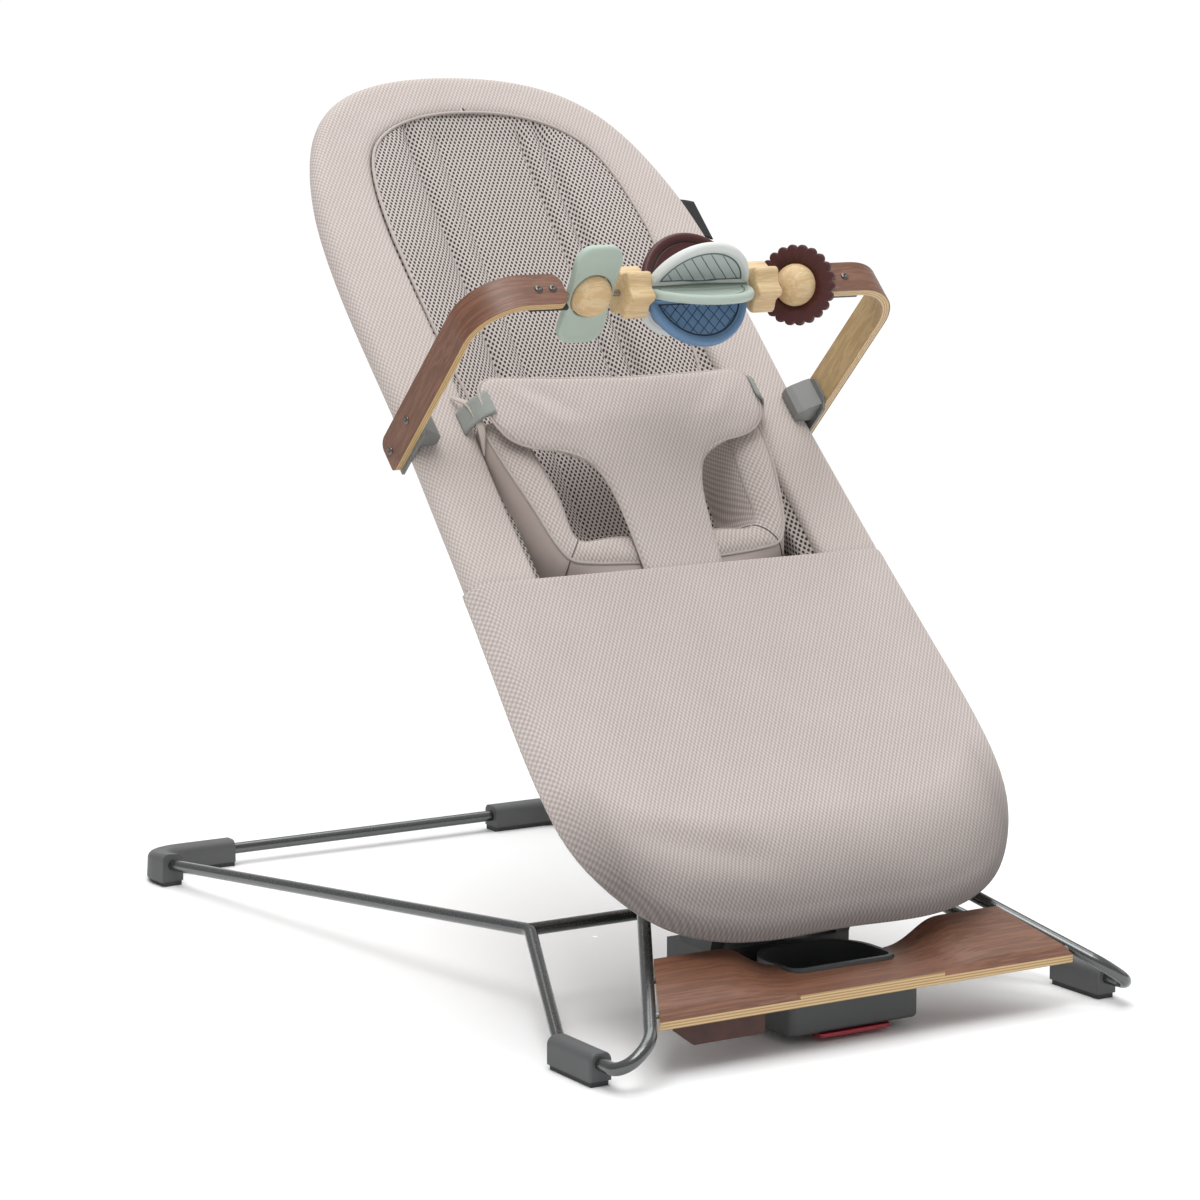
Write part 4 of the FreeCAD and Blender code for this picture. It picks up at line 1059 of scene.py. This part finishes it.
puff = 2.4 * np.sqrt(np.clip(1 - np.clip(1 - hd / 7.0, 0, 1) ** 2, 0, 1))
mid = harness_height(sheet_rows[..., 0], sheet_rows[..., 1])
crest = mid + 0.25 + puff
belly = mid - 0.25 - puff * 0.8
h_uv = sheet_rows * 0.001
front_side = grid("harness_front", row(lifted(sheet_rows, crest)), uv=h_uv)
back_side = grid("harness_back", row(lifted(sheet_rows, belly)), uv=h_uv + [0.5, 0], flip=True)
harness = joined("harness_panel_cloth", [front_side, back_side])
closed_up(harness, 6e-4)
paint(harness, "harness_cloth")
subdivided(harness)
place(harness, "seat", "harness_cloth", "harness_panel")
rim = np.concatenate([sheet_rows[:, -1], sheet_rows[-1, ::-1][1:-1], sheet_rows[::-1, 0]])
rim3 = lifted(rim, harness_height(rim[:, 0], rim[:, 1]) - 0.2)
binding = tube("harness_binding", row(even(rim3, 320)), 0.0011)
paint(binding, "piping_cloth")
place(binding, "seat", "harness_cloth")

# ---------------------------------------------------------------- toys
BAR_S, ROD_H = 144.0, 152.0  # the toy bar up the seat, and its rod above it
ROD = row((0, BAR_S, ROD_H)) * 1000


def on_rod(points, turn, x=0.0):
    """Points drawn in the XY plane, turned about the rod (degrees) and set on it at x."""
    a = math.radians(turn)
    p = np.asarray(points, float)
    y = p[..., 1] * math.cos(a) - p[..., 2] * math.sin(a)
    z = p[..., 1] * math.sin(a) + p[..., 2] * math.cos(a)
    return np.stack([p[..., 0] + x, y + ROD[1], z + ROD[2]], axis=-1) * 0.001


def engraved(name, base, face, line, mode):
    """Moulded leaf: plain rim, recessed field with dark engraved lines. mode is hatch, cross or arc."""
    n = Net(name, rough=0.5)
    at = n.mm("UV")
    out = n.split(at)
    x, y = out[0], out[1]
    across, up = n.div(x, 44.5), n.div(y, 43.5)
    share = n.math("SQRT", n.add(n.math("POWER", across, 2.0), n.math("POWER", up, 2.0)))
    low = 11.5 if mode != "arc" else 5.0
    field = n.mul(n.ramp(share, 0.835, 0.815), n.ramp(y, low - 0.5, low + 0.5))
    from_ring = n.math("ABSOLUTE", n.sub(share, 0.84))
    ring = n.mul(n.ramp(from_ring, 0.022, 0.008), n.ramp(y, low - 0.8, low))
    from_foot = n.math("ABSOLUTE", n.sub(y, low))
    foot = n.mul(n.ramp(from_foot, 0.8, 0.3), n.ramp(share, 0.85, 0.84))
    cut = n.math("MAXIMUM", ring, foot if mode != "arc" else 0.0)
    slants = {"hatch": (0.95,), "cross": (1.1, -0.75)}.get(mode, ())
    for slant in slants:
        u = n.div(n.mad(y, slant, x), 9.6)
        gap = n.math("ABSOLUTE", n.sub(n.math("FRACT", u), 0.5))
        bar = n.mul(n.ramp(gap, 0.06, 0.025), field)
        cut = n.math("MAXIMUM", cut, bar)
    tone = n.mix(field, base, face) if slants else base
    cloud = n.noise(at, 0.08, 3.0)
    tone = n.mix(n.mul(cloud, 0.12), tone, face)
    n.color(n.mix(cut, tone, line))
    n.bump(n.mad(n.noise(at, 3.0, 2.0), 0.04, n.sub(1.0, cut)), 0.0006, 0.8)
    return n.mat


LEAVES = {
    "white": (rgb(228, 231, 228), rgb(196, 203, 202), rgb(96, 112, 116), "hatch"),
    "burgundy": (rgb(76, 28, 26), rgb(82, 32, 30), rgb(34, 10, 12), "arc"),
    "plum": (rgb(72, 30, 38), rgb(78, 34, 42), rgb(34, 10, 16), "arc"),
    "pale": (rgb(218, 222, 222), rgb(202, 209, 208), rgb(124, 134, 134), "arc"),
    "blue": (rgb(108, 142, 180), rgb(102, 137, 176), rgb(24, 38, 66), "cross"),
    "sage": (rgb(188, 202, 191), rgb(178, 194, 183), rgb(130, 146, 136), "arc"),
}
# half of a leaf's section: shares of the way out from its middle, then insets from its edge, with heights
FIELD = [(0.0, 2.5), (0.25, 2.5), (0.5, 2.5)]
RIM = [(6.9, 2.5), (6.2, 2.9), (5.4, 3.4), (4.0, 3.5), (2.6, 3.5), (1.4, 3.1), (0.5, 2.2), (0.0, 0.9)]
LEAF_R = 44.5
hub_low = 7.1
arc_start = math.asin(hub_low / LEAF_R)
arc_turns = np.linspace(arc_start, math.pi - arc_start, 81)
leaf_edge = [(45.0 * math.cos(a), LEAF_R * math.sin(a)) for a in arc_turns]
leaf_edge += [(x, hub_low) for x in np.linspace(-43.0, 43.0, 41)]
leaf_edge = np.array(leaf_edge)
middle = np.array([0.0, 21.0])
reach = np.linalg.norm(leaf_edge - middle, axis=1)[:, None]
steps = FIELD + [(1 - inset / np.maximum(reach, 14.0), z) for inset, z in RIM]
rows = []
for k, z in steps:
    rows.append(np.concatenate([middle + (leaf_edge - middle) * k, np.full((len(leaf_edge), 1), z)], axis=1))
rows = np.array(rows + [r * [1, 1, -1] for r in rows[::-1]])
for i, leaf in enumerate(LEAVES):
    shape = grid("leaf_" + leaf, on_rod(rows, 180 - 53 - 60 * i, 2.6), around=True, uv=rows[..., :2] * 0.001)
    closed_up(shape, WELD)
    paint(shape, engraved("leaf_" + leaf, *LEAVES[leaf]))
    place(shape, "petal_ball", leaf, "petal_" + leaf)

# bow plate: two rounded lobes with a ring of clearance round the ball
BOW = [(18.8, 0), (18.6, 9), (19.4, 21), (19.4, 30), (14.5, 38.5), (0, 41)]
bow_half = BOW + [(-x, y) for x, y in BOW[:-1][::-1]]
bow_loop = bow_half + [(-x, -y) for x, y in bow_half[1:-1]]
bow_line = smooth(bow_loop, 160, closed=True)
span = np.linalg.norm(bow_line, axis=1)
unit_out = bow_line / span[:, None]
HOLE = 17.1
room = (span - HOLE)[:, None]
# half of the plate's section: share of the way to the hole, inset from the edge, height, whether it is sunk
BOW_SECTION = [
    (0, 0.0, 0.0, False), (0, 0.2, 1.6, False), (0, 0.9, 2.8, False), (0, 2.2, 3.4, False),
    (0, 3.6, 3.5, False), (0, 5.0, 3.1, True), (0, 6.5, 2.5, True), (0.5, 0, 2.5, True),
    (0.8, 0, 2.9, True), (0.92, 0, 3.3, False), (0.98, 0, 2.9, False), (1.0, 0, 2.0, False),
]
rows = []
for share, inset, z, sunk in BOW_SECTION:
    d = share * room + np.minimum(inset, room * min(0.5, inset * 0.09))
    height = 3.4 - (3.4 - z) * eased((room - 5) / 6) if sunk else z
    rows.append(np.concatenate([bow_line - unit_out * d, height * np.ones_like(d)], axis=1))
rows = rows[::-1] + [r * [1, 1, -1] for r in rows[1:]]
rows.append(rows[0])
rows = np.array(rows)
bow = grid("bow_shape", on_rod(rows, 180 - 62, -89.0), around=True, uv=rows[..., :2] * 0.001)
closed_up(bow, WELD)
paint(bow, "sage")
subdivided(bow)
place(bow, "bow", "sage", "bow_plate")


def turned(name, loop_radius, profile, x):
    """Solid about the rod: loop_radius(angle) less each inset of the profile, at each place along it."""
    angles = np.linspace(0, 2 * math.pi, 180, endpoint=False)
    edge = loop_radius(angles)
    rows = []
    for at_x, inset in profile:
        r = np.maximum(edge - inset, 2.5)
        rows.append(np.stack([np.full_like(r, at_x + x), r * np.cos(angles), r * np.sin(angles)], axis=1))
    rows = np.array(rows)
    return closed_up(grid(name, on_rod(rows, 0), around=True, uv=arc_uv(rows * 0.001)), WELD)


def fluted(angles):
    """Radius of a bead with six soft flutes."""
    from_crest = angles - math.radians(10)
    return 17.3 + 2.3 * np.cos(6 * from_crest) + 0.25 * np.cos(12 * from_crest)


half = 10.25
BEAD = [
    (-half, 99), (-half, 6), (-half, 2.4), (-half + 0.3, 1.2), (-half + 1.0, 0.4), (-half + 2.2, 0), (0, 0),
    (half - 2.2, 0), (half - 1.0, 0.4), (half - 0.3, 1.2), (half, 2.4), (half, 6), (half, 99),
]
for side, where in (("left", -53.2), ("right", 59.4)):
    bead = turned("bead_" + side + "_wood", fluted, BEAD, where)
    paint(bead, "bead_wood")
    place(bead, "bead_%s_toy" % side, "bead_wood", "bead_" + side)

# scalloped ring round the right ball, tipped back and swung to the side
LOBES, LOBES_AT, LOBE_R, BALL_ROOM = 22, 26.8, 3.9, 16.8
FLOWER_X = 95.5
FLOWER_TIP, FLOWER_SWING = math.radians(84), math.radians(-53)
FLOWER_SECTION = [
    (0.0, 3.2), (0.25, 3.9), (0.8, 4.35), (1.8, 4.5), (6, 4.4), (99, 4.5), (99, -1.5), (6, -1.5), (1.8, -1.5),
    (0.8, -1.3), (0.25, -0.9), (0.0, -0.2), (0.0, 3.2),
]
around = np.linspace(0, 2 * math.pi, 16 * LOBES, endpoint=False)
step = 2 * math.pi / LOBES
delta = (around + step / 2) % step - step / 2
lobe_out = np.sqrt(np.maximum(0.6, LOBE_R**2 - (LOBES_AT * np.sin(delta)) ** 2))
scallop = LOBES_AT * np.cos(delta) + lobe_out
rows = []
for inset, z in FLOWER_SECTION:
    r = np.maximum(scallop - inset, math.sqrt(BALL_ROOM**2 - z * z))
    rows.append(np.stack([r * np.cos(around), r * np.sin(around), np.full_like(r, z)], axis=1))
rows = np.array(rows)
x, y, z = rows[..., 0], rows[..., 1], rows[..., 2]
behind = y * math.cos(FLOWER_TIP) - z * math.sin(FLOWER_TIP)
above = y * math.sin(FLOWER_TIP) + z * math.cos(FLOWER_TIP)
swung = [
    x * math.cos(FLOWER_SWING) - behind * math.sin(FLOWER_SWING) + FLOWER_X,
    x * math.sin(FLOWER_SWING) + behind * math.cos(FLOWER_SWING) + ROD[1],
    above + ROD[2],
]
flower = grid("flower_shape", np.stack(swung, axis=-1) * 0.001, around=True, uv=rows[..., :2] * 0.001)
closed_up(flower, WELD)
paint(flower, "burgundy")
place(flower, "flower", "burgundy", "flower_ring")

# domed screws with sockets
DOME = [(3.2, -0.4), (3.2, 0.35), (2.9, 0.9), (2.2, 1.3), (1.5, 1.45), (1.25, 1.35), (1.15, 0.4), (0.02, 0.4)]
ARM_SIDE_X, ARM_TOP_H = 188.2, 160
screws = []
for sign in (1, -1):
    places = [((sign * ARM_SIDE_X, BAR_S, h), (sign, 0, 0)) for h in (-20, 16)]
    places += [((sign * x, BAR_S, ARM_TOP_H), (0, 0, 1)) for x in (123.5, 135.5)]
    for centre, axis in places:
        axis = np.array(axis, float)
        u = np.array([0, 1.0, 0])
        v = np.cross(axis, u)
        turns = np.linspace(0, 2 * math.pi, 24, endpoint=False)
        spokes = np.cos(turns)[:, None] * u + np.sin(turns)[:, None] * v
        rows = [np.array(centre) + axis * h + r * spokes for r, h in DOME]
        screws.append(closed_up(grid("screw", row(rows), around=True, uv=arc_uv(row(rows)), caps=True), WELD))
screw_set = joined("arm_screw_heads", screws)
paint(screw_set, "screw_steel")
place(screw_set, "toy_bar", "dark_steel", "arm_screws")

# ---------------------------------------------------------------- tabs, loops
WEB = 1.7  # the webbing's thickness
TAB = [(118.5, 28.0), (124, 24.5), (129.5, 17.0), (133.0, 9.0), (134.5, 4.0), (135.0, 1.2)]
LOOP = [
    (133.5, 174, 2.5), (131.5, 166, 8.5), (129.5, 156, 14.5), (128.5, 145, 15.5), (127.5, 134, 13.5),
    (127.0, 125, 7.5), (126.5, 117, 0.5),
]
width = np.linspace(138.0, 158.5, 9)
for sign, side in ((1, "right"), (-1, "left")):
    path = smooth(TAB, 30)
    nrm = normals_of(path)
    rows = []
    for (x, h), (a, b) in zip(path, nrm):
        if b < 0:
            a, b = -a, -b
        line = [(x, s, h) for s in width]
        line += [(x - a * WEB, s, h - b * WEB) for s in width[::-1]]
        rows.append(line)
    rows = row(np.array(rows) * [sign, 1, 1])
    tab = grid("tab_%s_web" % side, rows, around=True, uv=arc_uv(rows), caps=True, flip=sign < 0)
    closed_up(tab)
    paint(tab, "webbing")
    place(tab, "seat", "webbing", "tab_" + side)
    # folded tape that the tab hangs on
    spine = smooth(LOOP, 40)
    breadth = np.interp(np.linspace(0, 1, 40), [0, 0.15, 0.5, 0.72, 1], [1.2, 4.2, 4.6, 4.6, 0.6])
    rows = []
    for point, w in zip(spine, breadth):
        lean = np.array([0.86, 0, -0.5])
        up = np.array([0.5, 0, 0.86])
        rows.append([point - lean * w, point + up * 1.0, point + lean * w, point - up * 1.0])
    rows = row(np.array(rows) * [sign, 1, 1])
    strip = grid("loop_%s_tape" % side, rows, around=True, uv=arc_uv(rows), caps=True, flip=sign < 0)
    closed_up(strip)
    subdivided(strip)
    paint(strip, "loop_cloth")
    place(strip, "seat", "loop_cloth", "loop_" + side)

# side label: a woven tape folded over its outer edge and sewn into the ring
LABEL_X, LABEL_W, LABEL_T = 164, 18.6, 0.65  # where it leaves the ring, its width, half its thickness
label_rows = []
for s in np.linspace(332.5, 373.5, 14):
    line = []
    for across, side in ((np.linspace(0, 1, 9), LABEL_T), (np.linspace(1, 0, 9), -LABEL_T)):
        for share in across:
            line.append((LABEL_X + LABEL_W * share, s - 1.2 * share, -6.2 - 2.4 * share * share + side))
        if side > 0:
            line.append((LABEL_X + LABEL_W + 0.5, s - 1.3, -8.6))
    label_rows.append(line)
label_rows = row(np.array(label_rows))
label = grid("side_label_tape", label_rows, around=True, uv=arc_uv(label_rows), caps=True)
closed_up(label)
paint(label, "label_cloth")
place(label, "seat", "label_cloth", "side_label")

# ---------------------------------------------------------------- studio
turns = np.linspace(0, 2 * math.pi, 96, endpoint=False)
rings = [[(r * math.cos(a), r * math.sin(a), 0.0) for a in turns] for r in (0.002, 1.2, 2.3)]
floor = grid("floor", rings, around=True)
floor_mat = Net("floor", rough=0.7)
floor_mat.color((0.95, 0.95, 0.95, 1.0))
floor.data.materials.append(floor_mat.mat)
world = bpy.data.worlds.new("studio")
bpy.context.scene.world = world
world.use_nodes = True
sky = world.node_tree
at = sky.nodes.new("ShaderNodeTexCoord")
axes = sky.nodes.new("ShaderNodeSeparateXYZ")
shade = sky.nodes.new("ShaderNodeValToRGB")
sky.links.new(at.outputs["Generated"], axes.inputs[0])
facing = sky.nodes.new("ShaderNodeVectorMath")
facing.operation = "DOT_PRODUCT"
facing.inputs[1].default_value = (0.5227, 0.8391, -0.1)
sky.links.new(at.outputs["Generated"], facing.inputs[0])
backdrop = sky.nodes.new("ShaderNodeMapRange")
backdrop.inputs["From Min"].default_value = 0.78
backdrop.inputs["From Max"].default_value = 0.92
sky.links.new(facing.outputs["Value"], backdrop.inputs["Value"])
sky.links.new(axes.outputs["Z"], shade.inputs[0])
stops = [(0.0, 0.42), (0.3, 0.42), (0.6, 0.5), (0.85, 0.7)]
while len(shade.color_ramp.elements) < len(stops):
    shade.color_ramp.elements.new(0.5)
for element, (where, level) in zip(shade.color_ramp.elements, stops):
    element.position = where
    element.color = (level, level, level, 1)
blend = sky.nodes.new("ShaderNodeMix")
blend.data_type = "RGBA"
sky.links.new(backdrop.outputs[0], blend.inputs["Factor"])
sky.links.new(shade.outputs[0], blend.inputs[6])
blend.inputs[7].default_value = (1, 1, 1, 1)
sky.links.new(blend.outputs[2], sky.nodes["Background"].inputs[0])
sky.nodes["Background"].inputs[1].default_value = 1.03
bpy.context.scene.view_settings.view_transform = "Standard"


def softbox(name, place_at, aim, size, watts):
    data = bpy.data.lights.new(name, "AREA")
    data.shape = "RECTANGLE"
    data.size, data.size_y = size
    data.energy = watts
    lamp = bpy.data.objects.new(name, data)
    bpy.context.scene.collection.objects.link(lamp)
    lamp.location = place_at
    lamp.rotation_mode = "QUATERNION"
    lamp.rotation_quaternion = (Vector(aim) - Vector(place_at)).to_track_quat("-Z", "Y")
    return lamp


softbox("key", (-1.9, -2.0, 5.6), (0, 0, 0.2), (3.2, 3.2), 170)
softbox("fill", (2.4, -0.6, 1.2), (0, 0, 0.3), (1.4, 1.4), 5)
softbox("top", (0.8, 1.6, 6.0), (0, 0, 0.2), (5.0, 5.0), 200)
